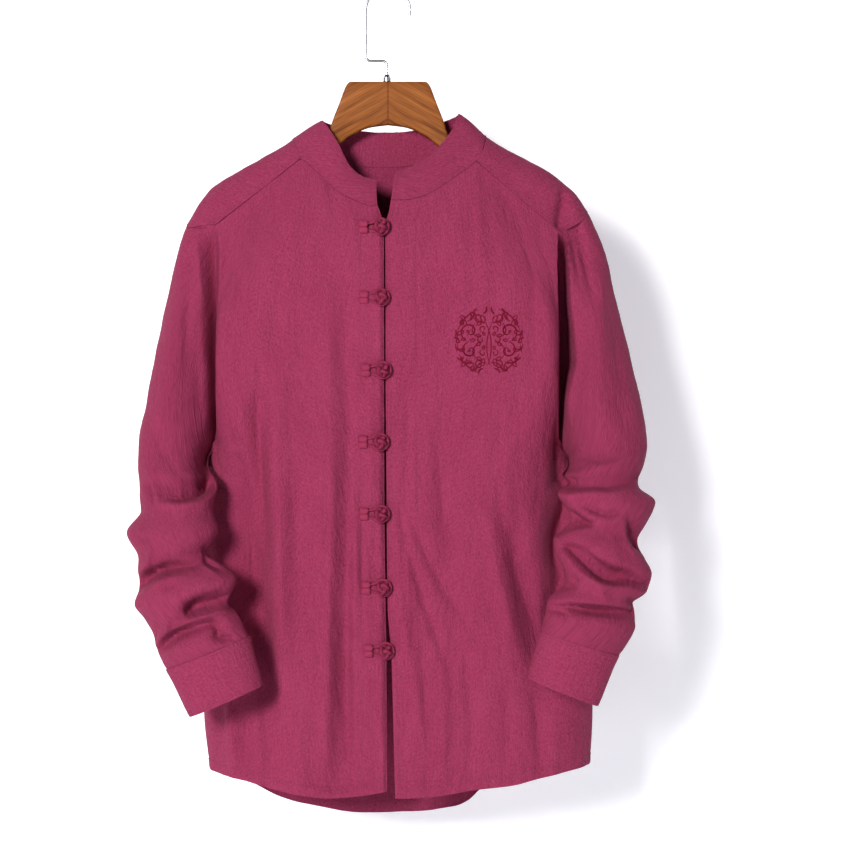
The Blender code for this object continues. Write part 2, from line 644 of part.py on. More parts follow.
def collar_edges(side, u):
    """Angles from the front middle on the neck ring and on the top edge, for one half of the collar."""
    half_columns = NECK_COLUMNS + BACK_NECK_COLUMNS / 2
    front_share = np.clip(u * half_columns / NECK_COLUMNS, 0.0, 1.0)
    back_share = np.clip((u * half_columns - NECK_COLUMNS) / (BACK_NECK_COLUMNS / 2), 0.0, 1.0)
    behind = mix(SHOULDER_SEAM_ANGLE, 180.0, back_share)
    low = np.where(front_share < 1, neck_angle(side, front_share), behind)
    start = COLLAR_FRONT_ANGLE[side]
    high = np.where(front_share < 1, mix(start, SHOULDER_SEAM_ANGLE, front_share), behind)
    return low, high


def collar_half(side, u, v):
    low, high = collar_edges(side, u)
    base = over_shoulder(*neck_place(side, low))
    share = np.abs(np.sin(np.radians(high)))
    ahead = np.cos(np.radians(high))
    x = SIDES[side] * COLLAR_WIDTH[side] * share
    y = np.where(ahead > 0, -COLLAR_DEPTH["front"], COLLAR_DEPTH["back"]) * np.abs(ahead) ** COLLAR_ROUNDNESS
    z = np.where(high < 90, COLLAR_TOP.read(side, share), COLLAR_TOP.read(side + "_back", share))
    top = np.stack(np.broadcast_arrays(x, y, z), axis=-1)
    lift = np.clip(v, 0.0, 1.0)[..., None]
    point = mix(base, top, v[..., None])
    away = np.stack(np.broadcast_arrays(SIDES[side] * share, -ahead, 0.0), axis=-1)
    return point + away * COLLAR_BULGE * 4 * lift * (1 - lift)


def collar_point(u, v):
    """The stand collar: u from its right front end round the back to the left one, v up."""
    right = collar_half("right", 2 * u, v)
    left = collar_half("left", 2 * (1 - u), v)
    return np.where((u < 0.5)[..., None], right, left)


def surface_normals(surface, u, v, outward):
    """Unit normals from small steps along the surface, kept inside its edges."""
    step = 0.002
    span_u = (u.min(), u.max())
    span_v = (v.min(), v.max())
    along = surface(np.minimum(u + step, span_u[1]), v) - surface(np.maximum(u - step, span_u[0]), v)
    down = surface(u, np.minimum(v + step, span_v[1])) - surface(u, np.maximum(v - step, span_v[0]))
    normals = np.cross(along, down) * outward
    return normals / np.linalg.norm(normals, axis=-1, keepdims=True)


def tube_normals(surface, angle, ring, outward):
    """The same for a tube, whose angle runs on past its start."""
    turn = 2.0
    step = 0.02
    span = (ring.min(), ring.max())
    along = surface(angle + turn, ring) - surface(angle - turn, ring)
    down = surface(angle, np.minimum(ring + step, span[1])) - surface(angle, np.maximum(ring - step, span[0]))
    normals = np.cross(along, down) * outward
    return normals / np.linalg.norm(normals, axis=-1, keepdims=True)


def draw_in(points, seams):
    """Move each named edge back from its seam, each by its own share of the gap between pieces."""
    for edge, share in seams.items():
        here, inside = {"u0": (np.s_[0], np.s_[1]), "u1": (np.s_[-1], np.s_[-2]),
                        "v0": (np.s_[:, 0], np.s_[:, 1]), "v1": (np.s_[:, -1], np.s_[:, -2])}[edge]
        way = points[inside] - points[here]
        points[here] = points[here] + way / np.linalg.norm(way, axis=-1, keepdims=True) * SEAM_GAP * share


def make_material(name):
    material = bpy.data.materials.get(name)
    if material:
        return material
    colour, roughness, metallic = COLOURS[name]
    material = bpy.data.materials.new(name)
    material.use_nodes = True
    shader = material.node_tree.nodes["Principled BSDF"]
    shader.inputs["Base Color"].default_value = (*colour, 1.0)
    shader.inputs["Roughness"].default_value = roughness
    shader.inputs["Metallic"].default_value = metallic
    return material


def make_object(name, points, faces, finish, sharp_angle=50.0):
    mesh = bpy.data.meshes.new(name)
    mesh.from_pydata([tuple(map(float, point)) for point in points], [], faces)
    mesh.validate()
    mesh.update()
    mesh.shade_smooth()
    mesh.set_sharp_from_angle(angle=math.radians(sharp_angle))
    mesh.materials.append(make_material(finish))
    piece = bpy.data.objects.new(name, mesh)
    bpy.context.scene.collection.objects.link(piece)
    return piece


def split(quad):
    """Two triangles on the quad's first diagonal."""
    a, b, c, d = quad
    return [(a, b, c), (a, c, d)]


def cloth_faces(columns, rows, closed):
    """Faces of a wall: the outer layer, the inner one behind it, and the rims between them."""
    layer = columns * rows
    faces = []

    def at(i, j, inner=0):
        return inner * layer + (i % columns) * rows + j

    for i in range(columns if closed else columns - 1):
        for j in range(rows - 1):
            outer = (at(i, j), at(i + 1, j), at(i + 1, j + 1), at(i, j + 1))
            faces += split(outer)
            faces += [tuple(layer + corner for corner in reversed(face)) for face in split(outer)]
        faces += split((at(i + 1, 0), at(i, 0), at(i, 0, 1), at(i + 1, 0, 1)))
        last = rows - 1
        faces += split((at(i, last), at(i + 1, last), at(i + 1, last, 1), at(i, last, 1)))
    if not closed:
        last = columns - 1
        for j in range(rows - 1):
            faces += split((at(0, j), at(0, j + 1), at(0, j + 1, 1), at(0, j, 1)))
            faces += split((at(last, j + 1), at(last, j), at(last, j, 1), at(last, j + 1, 1)))
    return faces


def make_panel(name, surface, us, vs, outward, seams):
    """A cut piece of cloth: its outer face on the surface, one cloth's thickness behind it."""
    u, v = np.meshgrid(us, vs, indexing="ij")
    points = surface(u, v)
    normals = surface_normals(surface, u, v, outward)
    draw_in(points, seams)
    inner = points - normals * CLOTH
    faces = cloth_faces(len(us), len(vs), False)
    if outward < 0:
        faces = [tuple(reversed(face)) for face in faces]
    both = np.concatenate([points.reshape(-1, 3), inner.reshape(-1, 3)])
    return make_object(name, both, faces, "berry_cloth")


def make_tube(name, surface, angles, rings, outward, seams):
    angle, ring = np.meshgrid(angles, rings, indexing="ij")
    points = surface(angle, ring)
    normals = tube_normals(surface, angle, ring, outward)
    draw_in(points, seams)
    inner = points - normals * CLOTH
    faces = cloth_faces(len(angles), len(rings), True)
    if outward < 0:
        faces = [tuple(reversed(face)) for face in faces]
    both = np.concatenate([points.reshape(-1, 3), inner.reshape(-1, 3)])
    return make_object(name, both, faces, "berry_cloth")


def body_rows():
    upper = [UNDERARM_SHARE * stop for stop in ARMHOLE_STOPS]
    lower = [mix(UNDERARM_SHARE, 1.0, i / LOWER_ROWS) for i in range(1, LOWER_ROWS + 1)]
    return np.array(upper + lower)


def armhole_angles():
    """Stops round the sleeve that meet the stops of yoke, front and back."""
    over_top = [ARMHOLE_TURN * (1 - 2 * i / YOKE_ROWS) for i in range(YOKE_ROWS + 1)]
    front = [mix(ARMHOLE_TURN, 180.0, stop) for stop in ARMHOLE_STOPS[1:]]
    back = [-mix(ARMHOLE_TURN, 180.0, stop) for stop in ARMHOLE_STOPS[1:-1]]
    return np.array(sorted(front + over_top + back))


def make_body():
    front_columns = NECK_COLUMNS + SHOULDER_COLUMNS
    for side, sign in SIDES.items():
        make_panel(side + "_front", lambda u, v, side=side: front_point(side, u, v),
                   np.linspace(0.0, 1.0, front_columns + 1), body_rows(), -sign, {"u1": HALF, "v0": HALF})
    columns = 2 * SHOULDER_COLUMNS + BACK_NECK_COLUMNS
    make_panel("back", back_point, np.linspace(0.0, 1.0, columns + 1), body_rows(), 1,
               {"u0": HALF, "u1": HALF, "v0": HALF})
    make_panel("yoke", yoke_point, np.linspace(0.0, 1.0, columns + 1), np.linspace(0.0, 1.0, YOKE_ROWS + 1),
               1, {"u0": HALF, "u1": HALF, "v0": HALF, "v1": HALF})
    collar_columns = 2 * NECK_COLUMNS + BACK_NECK_COLUMNS
    make_panel("collar", collar_point, np.linspace(0.0, 1.0, collar_columns + 1),
               np.linspace(0.0, 1.0, COLLAR_ROWS + 1), -1, {"v0": COLLAR_BASE})


def make_sleeves():
    angles = armhole_angles()
    for side, sign in SIDES.items():
        make_tube(side + "_sleeve", lambda a, r, side=side: sleeve_point(side, a, r), angles,
                  np.array(RING_STOPS), sign, {"v0": SLEEVE_HEAD, "v1": HALF})
        make_tube(side + "_cuff", lambda a, r, side=side: cuff_point(side, a, r), angles,
                  np.linspace(0.0, 1.0, CUFF_ROWS + 1), sign, {"v0": HALF})


def front_depth(x, z):
    """How far the fronts stand out beside the opening."""
    return float(stand_out(ridge(x) - z, BODY.read("front", -z)))


def loft(name, rings, finish):
    """A closed solid through rings of equal counts, each end closed on its own middle."""
    count = len(rings[0])
    points = [point for ring in rings for point in ring]
    points.append(np.mean(rings[0], axis=0))
    points.append(np.mean(rings[-1], axis=0))
    first = len(points) - 2
    faces = []
    for r in range(len(rings) - 1):
        for i in range(count):
            k = (i + 1) % count
            faces += split((r * count + i, r * count + k, (r + 1) * count + k, (r + 1) * count + i))
    base = (len(rings) - 1) * count
    for i in range(count):
        k = (i + 1) % count
        faces.append((first, k, i))
        faces.append((first + 1, base + i, base + k))
    return make_object(name, points, faces, finish)


def sweep(name, path, radius, sides, finish):
    """A round rod along a path of points, its rings turned as little as possible."""
    path = np.array(path, float)
    ways = np.gradient(path, axis=0)
    ways = ways / np.linalg.norm(ways, axis=1, keepdims=True)
    across = np.cross(ways[0], [0.0, 1.0, 0.0])
    if np.linalg.norm(across) < 0.1:
        across = np.cross(ways[0], [1.0, 0.0, 0.0])
    rings = []
    for point, way in zip(path, ways):
        across = across - way * (across @ way)
        across = across / np.linalg.norm(across)
        up = np.cross(way, across)
        rings.append([point + radius * (across * math.cos(a) + up * math.sin(a))
                      for a in (2 * math.pi * i / sides for i in range(sides))])
    return loft(name, rings, finish)


def make_knots():
    """Each knot is a ball on a short stem from the left front's edge; its loop lies on the right front."""
    for number, (x, z) in enumerate(KNOTS, start=1):
        depth = front_depth(x, z - LOOP_RADIUS)
        edge = float(OPENING.read("left", -z))
        stem_x = edge - SEAM_GAP - STEM_INSET
        ball = depth + SEAM_GAP + KNOT_RADIUS
        rings = [(stem_x, depth - 0.0010, STEM_RADIUS), (stem_x, depth + 0.0008, STEM_RADIUS)]
        for angle in KNOT_LATITUDES:
            a = math.radians(angle)
            shift = max(0.0, stem_x - x) * KNOT_LEAN if angle == KNOT_LATITUDES[0] else 0.0
            rings.append((x + shift, ball + KNOT_RADIUS * math.sin(a), KNOT_RADIUS * math.cos(a)))
        circles = []
        for centre, out, radius in rings:
            circles.append([np.array([centre + radius * math.cos(a), -out, z + radius * math.sin(a)])
                            for a in (2 * math.pi * i / KNOT_SIDES for i in range(KNOT_SIDES))])
        loft(f"knot_{number}", circles, "berry_cord")
        make_loop(number, x, z, depth)


def make_loop(number, x, z, depth):
    """A cord doubled into a loop: two legs sewn to the right front, then round under the ball."""
    low = depth + SEAM_GAP + CORD_RADIUS
    leg_gap = CORD_RADIUS + LEG_GAP
    path = []
    for share in (0.0, 0.5):
        path.append((x - mix(LOOP_LEG, LOOP_RADIUS, share), -low, z + leg_gap))
    for angle in range(130, -131, -20):
        a = math.radians(angle)
        rise = LOOP_RISE * (1 + math.cos(a))
        path.append((x + LOOP_RADIUS * math.cos(a), -low - rise, z + LOOP_RADIUS * math.sin(a)))
    for share in (0.5, 0.0):
        path.append((x - mix(LOOP_LEG, LOOP_RADIUS, share), -low, z - leg_gap))
    sweep(f"loop_{number}", path, CORD_RADIUS, LOOP_SIDES, "berry_cord")


def hanger_station(x):
    """One section of the hanger: top, bottom, half thickness and squareness."""
    reach = abs(x)
    top, bottom, half, square = (float(HANGER.read(name, reach)) for name in
                                 ("top", "bottom", "half_thickness", "square"))
    seat = float(ridge(x)) - CLOTH - ARM_SEAT
    share = float(smooth((reach - ARM_START) / ARM_BLEND))
    return mix(top, seat, share), bottom, half, square


def make_hanger():
    stations = [-reach for reach in reversed(HANGER_STATIONS[1:])] + list(HANGER_STATIONS)
    rings = []
    for x in stations:
        top, bottom, half, square = hanger_station(x)
        if abs(x) == HANGER_TIP:
            top, bottom = mix(top, bottom, TIP_CLOSE), mix(top, bottom, 1 - TIP_CLOSE)
            half = half * TIP_THICKNESS
        ring = []
        for i in range(HANGER_SIDES):
            a = 2 * math.pi * (i + 0.5) / HANGER_SIDES
            c, s = math.cos(a), math.sin(a)
            y = half * math.copysign(abs(c) ** (2 / square), c)
            rise = math.copysign(abs(s) ** (2 / square), s)
            ring.append(np.array([x, y, (top + bottom) / 2 + rise * (top - bottom) / 2]))
        rings.append(ring)
    loft("hanger_wood", rings, "hanger_wood")


def hook_path():
    """Up the stem, left along the crank, up again, and round the hook to its tip."""
    left = -HOOK_RADIUS
    path = [(STEM_X, 0.0, STEM_FOOT), (STEM_X, 0.0, CRANK_HEIGHT - CRANK_BEND)]
    for step in range(1, 4):
        a = math.radians(30 * step)
        path.append((STEM_X - CRANK_BEND * (1 - math.cos(a)), 0.0,
                     CRANK_HEIGHT - CRANK_BEND * (1 - math.sin(a))))
    path.append((left + CRANK_BEND, 0.0, CRANK_HEIGHT))
    for step in range(1, 4):
        a = math.radians(30 * step)
        path.append((left + CRANK_BEND * (1 - math.sin(a)), 0.0,
                     CRANK_HEIGHT + CRANK_BEND * (1 - math.cos(a))))
    path.append((left, 0.0, mix(CRANK_HEIGHT, HOOK_CENTRE, 0.5)))
    for angle in range(180, -1, -15):
        a = math.radians(angle)
        path.append((HOOK_RADIUS * math.cos(a), 0.0, HOOK_CENTRE + HOOK_RADIUS * math.sin(a)))
    a = math.radians(HOOK_TIP_ANGLE)
    path.append((HOOK_RADIUS * math.cos(a), 0.0, HOOK_CENTRE + HOOK_RADIUS * math.sin(a)))
    return path


def make_hook():
    sweep("hanger_hook", hook_path(), WIRE, WIRE_SIDES, "hook_steel")
    foot = float(HANGER.read("top", 0.0)) + SEAM_GAP
    circles = []
    shoulder = foot + FERRULE_HEIGHT * FERRULE_SHOULDER
    for height, radius in ((foot, FERRULE_RADIUS), (shoulder, FERRULE_RADIUS),
                           (STEM_FOOT - SEAM_GAP, FERRULE_RADIUS * FERRULE_NECK)):
        circles.append([np.array([STEM_X + radius * math.cos(a), radius * math.sin(a), height])
                        for a in (2 * math.pi * i / FERRULE_SIDES for i in range(FERRULE_SIDES))])
    loft("hanger_ferrule", circles, "hook_steel")


def main():
    for piece in list(bpy.data.objects):
        bpy.data.objects.remove(piece)
    make_body()
    make_sleeves()
    make_knots()
    make_hanger()
    make_hook()


main()
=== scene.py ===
"""The looks of a stand-collar shirt with seven cord knots and loops, hung on a wooden coat hanger.

Metres, +Z up. +X is to the viewer's right and -Y faces the viewer. "right" and "left" in names and
columns are the wearer's, so the right front is on the viewer's left, at negative X.
The origin is the inside top of the hanger's hook, and every height is negative.
"""

import math
from collections import namedtuple

import bpy
import numpy as np
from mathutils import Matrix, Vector


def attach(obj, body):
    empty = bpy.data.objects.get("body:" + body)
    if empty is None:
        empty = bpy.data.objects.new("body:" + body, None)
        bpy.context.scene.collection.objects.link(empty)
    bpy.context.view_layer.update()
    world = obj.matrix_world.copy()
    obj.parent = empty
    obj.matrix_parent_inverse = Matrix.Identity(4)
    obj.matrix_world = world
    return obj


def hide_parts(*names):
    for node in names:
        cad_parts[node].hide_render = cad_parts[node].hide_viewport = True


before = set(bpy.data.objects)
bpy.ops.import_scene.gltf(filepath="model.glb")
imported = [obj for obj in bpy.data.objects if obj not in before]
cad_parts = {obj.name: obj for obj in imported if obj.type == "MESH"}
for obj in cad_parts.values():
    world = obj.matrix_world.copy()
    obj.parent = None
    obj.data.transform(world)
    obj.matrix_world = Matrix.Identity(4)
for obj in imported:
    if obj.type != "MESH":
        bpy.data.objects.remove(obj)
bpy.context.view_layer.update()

# Sizes of cloth and cord
CLOTH = 0.0015
SEAM_GAP = 0.0003
CORD_RADIUS = 0.0017
KNOT_RADIUS = 0.0076

# The shoulder line's own rounding over the hanger, and the slope from it to the chest
SHOULDER_ROUND = 0.022
ROUND_DROP = 0.030
SLOPE_DROP = 0.160
UNDERARM = -0.513
UNDERARM_SHARE = 0.42
SETTLE_SHARE = 0.22
NECK_FRONT = -0.243
HEM_LEVEL = 0.88
FOLD_FADE = 0.35

# The neck ring and the collar's top edge, as half widths and depths from the hanger's plane
NECK_WIDTH = {"right": 0.1060, "left": 0.1080}
COLLAR_WIDTH = {"right": 0.0739, "left": 0.0802}
COLLAR_DEPTH = {"front": 0.034, "back": 0.024}
COLLAR_FRONT_ANGLE = {"right": 9.6, "left": 6.2}
COLLAR_BULGE = 0.002
COLLAR_ROUNDNESS = 0.8
SHOULDER_SEAM_ANGLE = 66.0

# Where the shoulder seam of the yoke meets the armhole, in front and behind
ARMHOLE_CORNER = 0.1925
ARMHOLE_FRONT = {"right": -0.2655, "left": -0.2735}
ARMHOLE_BACK = {"right": -0.282, "left": -0.278}
SHOULDER_TIP = {"right": 0.0320, "left": 0.0300}
YOKE_NECK_BULGE = 0.010
YOKE_NECK_REACH = 0.105
BACK_YOKE_SEAM = -0.272

# Columns of the grids, and the share of each panel's width before it turns to its side seam
NECK_COLUMNS = 7
SHOULDER_COLUMNS = 5
BACK_NECK_COLUMNS = 14
FRONT_FLAT = 0.66
BACK_FLAT = 0.62

# The sign of X on each side of the wearer
SIDES = {"right": -1, "left": 1}


class Table:
    """Rows under named columns, read between the rows along a smooth curve."""

    def __init__(self, columns, rows):
        self.columns = {}
        for place, name in enumerate(columns):
            self.columns[name] = [row[place] for row in rows]
        self.key = self.columns[columns[0]]

    def read(self, name, at):
        return glide(self.key, self.columns[name], at)

    def read_inside(self, name, at):
        """The same, but beyond the first and last rows their values go on."""
        return self.read(name, np.clip(at, self.key[0], self.key[-1]))


def glide(stops, values, at):
    """Values between the stops on a smooth curve that never overshoots, straight beyond the ends."""
    stops = np.asarray(stops, float)
    values = np.asarray(values, float)
    at = np.asarray(at, float)
    spans = np.diff(stops)
    slopes = np.diff(values) / spans
    before = slopes[:-1]
    after = slopes[1:]
    same_way = before * after > 0
    total = np.where(same_way, before + after, 1.0)
    tangents = np.empty(len(stops))
    tangents[0] = slopes[0]
    tangents[-1] = slopes[-1]
    tangents[1:-1] = np.where(same_way, 2 * before * after / total, 0.0)
    i = np.clip(np.searchsorted(stops, at, side="right") - 1, 0, len(spans) - 1)
    run = spans[i]
    t = np.clip((at - stops[i]) / run, 0.0, 1.0)
    value = (values[i] * (2 * t ** 3 - 3 * t ** 2 + 1) + values[i + 1] * (3 * t ** 2 - 2 * t ** 3)
             + run * tangents[i] * (t ** 3 - 2 * t ** 2 + t) + run * tangents[i + 1] * (t ** 3 - t ** 2))
    value = value + tangents[0] * np.minimum(at - stops[0], 0.0)
    return value + tangents[-1] * np.maximum(at - stops[-1], 0.0)


def smooth(x):
    """0 below 0, 1 above 1, with an even S between."""
    x = np.clip(x, 0.0, 1.0)
    return x * x * (3 - 2 * x)


def mix(a, b, share):
    """a where the share is 0, and b where it is 1."""
    return a + (b - a) * share


def unit(ways):
    """The same directions, one metre long."""
    return ways / np.linalg.norm(ways, axis=-1, keepdims=True)


def places(x, y, z):
    """Points from their three coordinates, each of which may be one number for all of them."""
    return np.stack(np.broadcast_arrays(x, y, z), axis=-1)


def by_side(x, right, left):
    """The right value at negative X and the left one elsewhere."""
    return np.where(np.asarray(x) < 0, right, left)


# Height of the shoulder line at each reach from the middle; inside the collar it is only a guide
SHOULDER = Table(("reach", "right", "left"), [
    (0.000, -0.1480, -0.1480),
    (0.060, -0.1530, -0.1500),
    (0.100, -0.1650, -0.1605),
    (0.121, -0.1775, -0.1730),
    (0.148, -0.1932, -0.1876),
    (0.175, -0.2078, -0.2010),
    (0.195, -0.2210, -0.2150),
    (0.210, -0.2390, -0.2290),
    (0.2245, -0.2626, -0.2510),
])

# How far the neck seam lies below the shoulder line, by its share of the neck's half width
NECK_SEAM = Table(("share", "right", "left", "back"), [
    (0.00, 0.0955, 0.0890, 0.047),
    (0.15, 0.0952, 0.0890, 0.046),
    (0.35, 0.0865, 0.0845, 0.042),
    (0.55, 0.0723, 0.0720, 0.035),
    (0.75, 0.0465, 0.0526, 0.025),
    (0.85, 0.0330, 0.0408, 0.018),
    (0.92, 0.0255, 0.0315, 0.011),
    (0.96, 0.0160, 0.0205, 0.006),
    (1.00, 0.0000, 0.0000, 0.000),
])

# Height of the collar's top edge, by its share of the collar's half width
COLLAR_TOP = Table(("share", "right", "left", "right_back", "left_back"), [
    (0.00, -0.2160, -0.2065, -0.1570, -0.1570),
    (0.15, -0.2155, -0.2063, -0.1570, -0.1568),
    (0.35, -0.2125, -0.2000, -0.1560, -0.1550),
    (0.55, -0.2015, -0.1905, -0.1545, -0.1515),
    (0.75, -0.1740, -0.1745, -0.1515, -0.1465),
    (0.90, -0.1560, -0.1575, -0.1485, -0.1425),
    (1.00, -0.1460, -0.1388, -0.1460, -0.1388),
])

# The body at each distance down from the hook: side seam, planes of front and back, the corner's
# width and squareness, and how far the armhole seam stands out from the middle plane
BODY = Table(("down", "right", "left", "front", "back", "corner", "square", "seam_depth"), [
    (0.260, 0.1925, 0.1925, 0.050, 0.046, 0.022, 2.6, 0.0300),
    (0.300, 0.1905, 0.1905, 0.050, 0.046, 0.024, 2.6, 0.0300),
    (0.400, 0.1900, 0.1900, 0.050, 0.047, 0.026, 2.6, 0.0300),
    (0.445, 0.1902, 0.1902, 0.051, 0.048, 0.032, 2.5, 0.0285),
    (0.480, 0.1910, 0.1910, 0.051, 0.049, 0.045, 2.3, 0.0190),
    (0.500, 0.1920, 0.1920, 0.052, 0.050, 0.056, 2.2, 0.0090),
    (0.513, 0.1930, 0.1930, 0.052, 0.050, 0.063, 2.1, 0.0000),
    (0.560, 0.1950, 0.1965, 0.052, 0.051, 0.085, 2.0, 0.0000),
    (0.600, 0.1970, 0.2050, 0.053, 0.052, 0.092, 2.0, 0.0000),
    (0.700, 0.2030, 0.2180, 0.056, 0.056, 0.096, 2.0, 0.0000),
    (0.805, 0.2060, 0.2290, 0.058, 0.060, 0.100, 2.0, 0.0000),
    (0.870, 0.1997, 0.2260, 0.058, 0.062, 0.100, 2.0, 0.0000),
])

# The two front edges, whose gap opens toward the hem
OPENING = Table(("down", "right", "left"), [
    (0.243, -0.0113, 0.0041),
    (0.270, -0.0036, 0.0004),
    (0.400, -0.0036, 0.0002),
    (0.550, -0.0034, 0.0012),
    (0.670, -0.0022, 0.0022),
    (0.750, -0.0010, 0.0050),
    (0.890, -0.0003, 0.0088),
])

# Heights of the front hem from the opening to the side seam
FRONT_HEM = Table(("share", "right", "left"), [
    (0.00, -0.8893, -0.8968),
    (0.18, -0.8951, -0.8958),
    (0.33, -0.8973, -0.8915),
    (0.43, -0.8951, -0.8876),
    (0.61, -0.8885, -0.8830),
    (0.75, -0.8809, -0.8760),
    (0.91, -0.8754, -0.8690),
    (1.00, -0.8719, -0.8657),
])

# Heights of the back hem across the tail, from the right side seam to the left one
BACK_HEM = Table(("x", "height"), [
    (-0.1997, -0.8719),
    (-0.156, -0.8970),
    (-0.128, -0.9130),
    (-0.095, -0.9230),
    (-0.043, -0.9310),
    (-0.010, -0.9320),
    (0.031, -0.9300),
    (0.078, -0.9250),
    (0.093, -0.9180),
    (0.105, -0.9060),
    (0.125, -0.8900),
    (0.226, -0.8657),
])

# Soft folds of the body: x and height at each end, half width, and depth (a ridge is negative)
Fold = namedtuple("Fold", "x_top top x_bottom bottom half_width depth")
FRONT_FOLDS = [
    Fold(-0.145, -0.460, -0.133, -0.870, 0.015, 0.0040),
    Fold(-0.096, -0.560, -0.098, -0.880, 0.017, -0.0030),
    Fold(-0.046, -0.640, -0.052, -0.900, 0.020, 0.0045),
    Fold(0.127, -0.560, 0.160, -0.730, 0.013, 0.0040),
    Fold(0.060, -0.560, 0.085, -0.900, 0.022, 0.0025),
]
BACK_FOLDS = [
    Fold(-0.120, -0.310, -0.112, -0.900, 0.020, 0.0085),
    Fold(-0.045, -0.330, -0.034, -0.930, 0.018, 0.0070),
    Fold(0.038, -0.320, 0.045, -0.930, 0.020, 0.0085),
    Fold(0.112, -0.310, 0.128, -0.890, 0.019, 0.0080),
]

# Each sleeve as rings: the outer and the inner end of each ring (x from the middle, depth in front of
# the middle plane, height), and its half thickness
RING_COLUMNS = ("ring", "out_x", "out_y", "out_z", "in_x", "in_y", "in_z", "half")
SLEEVE_RINGS = {
    "right": Table(RING_COLUMNS, [
        (0, 0.2245, 0.000, -0.2626, 0.1930, 0.000, -0.5133, 0.044),
        (1, 0.2352, 0.000, -0.2940, 0.1950, 0.000, -0.5165, 0.047),
        (2, 0.2475, 0.000, -0.3477, 0.1990, 0.003, -0.5200, 0.050),
        (3, 0.2610, 0.000, -0.4149, 0.2010, 0.008, -0.5250, 0.050),
        (4, 0.2706, 0.003, -0.4687, 0.2010, 0.017, -0.5310, 0.049),
        (5, 0.2752, 0.010, -0.5044, 0.1980, 0.031, -0.5380, 0.046),
        (6, 0.2744, 0.022, -0.5375, 0.1905, 0.049, -0.5464, 0.041),
        (7, 0.2716, 0.034, -0.5637, 0.1878, 0.060, -0.5571, 0.038),
        (8, 0.2687, 0.044, -0.5820, 0.1914, 0.066, -0.5787, 0.036),
        (9, 0.2842, 0.056, -0.6056, 0.1848, 0.071, -0.6012, 0.038),
        (10, 0.2703, 0.067, -0.6341, 0.1975, 0.076, -0.6276, 0.034),
        (11, 0.2706, 0.075, -0.6641, 0.1851, 0.082, -0.6359, 0.034),
        (12, 0.2742, 0.080, -0.6820, 0.1629, 0.087, -0.6539, 0.036),
        (13, 0.2628, 0.084, -0.6978, 0.1722, 0.090, -0.6795, 0.032),
        (14, 0.2537, 0.087, -0.7125, 0.1622, 0.092, -0.6910, 0.031),
        (15, 0.2485, 0.089, -0.7316, 0.1544, 0.094, -0.7047, 0.031),
        (16, 0.2370, 0.091, -0.7529, 0.1473, 0.095, -0.7169, 0.027),
    ]),
    "left": Table(RING_COLUMNS, [
        (0, 0.2224, 0.000, -0.2499, 0.1930, 0.000, -0.5133, 0.044),
        (1, 0.2419, 0.000, -0.2929, 0.1950, 0.000, -0.5165, 0.047),
        (2, 0.2554, 0.000, -0.3477, 0.1990, 0.003, -0.5200, 0.050),
        (3, 0.2722, 0.000, -0.4149, 0.2020, 0.008, -0.5250, 0.050),
        (4, 0.2831, 0.003, -0.4687, 0.2020, 0.017, -0.5300, 0.049),
        (5, 0.2869, 0.010, -0.5045, 0.1990, 0.031, -0.5370, 0.046),
        (6, 0.2833, 0.022, -0.5286, 0.1935, 0.047, -0.5430, 0.041),
        (7, 0.2752, 0.036, -0.5532, 0.2000, 0.057, -0.5510, 0.037),
        (8, 0.2944, 0.050, -0.5724, 0.1868, 0.064, -0.5630, 0.039),
        (9, 0.2741, 0.064, -0.6136, 0.1999, 0.071, -0.5897, 0.034),
        (10, 0.2808, 0.071, -0.6317, 0.1807, 0.078, -0.6122, 0.035),
        (11, 0.2884, 0.076, -0.6487, 0.1818, 0.082, -0.6238, 0.037),
        (12, 0.2819, 0.080, -0.6678, 0.1902, 0.086, -0.6419, 0.034),
        (13, 0.2670, 0.083, -0.6805, 0.1932, 0.088, -0.6578, 0.031),
        (14, 0.2689, 0.085, -0.6901, 0.1747, 0.090, -0.6760, 0.033),
        (15, 0.2688, 0.087, -0.7053, 0.1718, 0.092, -0.6880, 0.032),
        (16, 0.2494, 0.091, -0.7383, 0.1656, 0.095, -0.7121, 0.027),
    ]),
}
LAST_RING = 16.0
ARMHOLE_TURN = 36.0
ARMHOLE_FADE = 1.3

# Creases across the sleeves as seen from the front: x and height at the start, the middle and the
# end, half width and depth. The same ones lie a little lower behind, and they fade at both ends
CREASE_STOPS = 73
CREASE_DROP_BEHIND = 0.012
CREASES_FROM_RING = 4.0
CREASES_TO_RING = 15.2
Crease = namedtuple("Crease", "x0 z0 x1 z1 x2 z2 half_width depth")
SLEEVE_CREASES = {
    "right": [
        Crease(-0.268, -0.549, -0.232, -0.556, -0.194, -0.555, 0.009, 0.0065),
        Crease(-0.276, -0.660, -0.243, -0.636, -0.200, -0.628, 0.009, 0.0065),
        Crease(-0.217, -0.690, -0.196, -0.683, -0.182, -0.672, 0.010, 0.0060),
        Crease(-0.251, -0.730, -0.232, -0.704, -0.188, -0.694, 0.008, 0.0055),
    ],
    "left": [
        Crease(0.200, -0.570, 0.236, -0.566, 0.272, -0.563, 0.009, 0.0045),
        Crease(0.202, -0.600, 0.236, -0.604, 0.272, -0.609, 0.010, 0.0045),
        Crease(0.202, -0.628, 0.240, -0.650, 0.282, -0.666, 0.011, 0.0065),
        Crease(0.190, -0.678, 0.226, -0.682, 0.268, -0.690, 0.007, 0.0060),
    ],
}

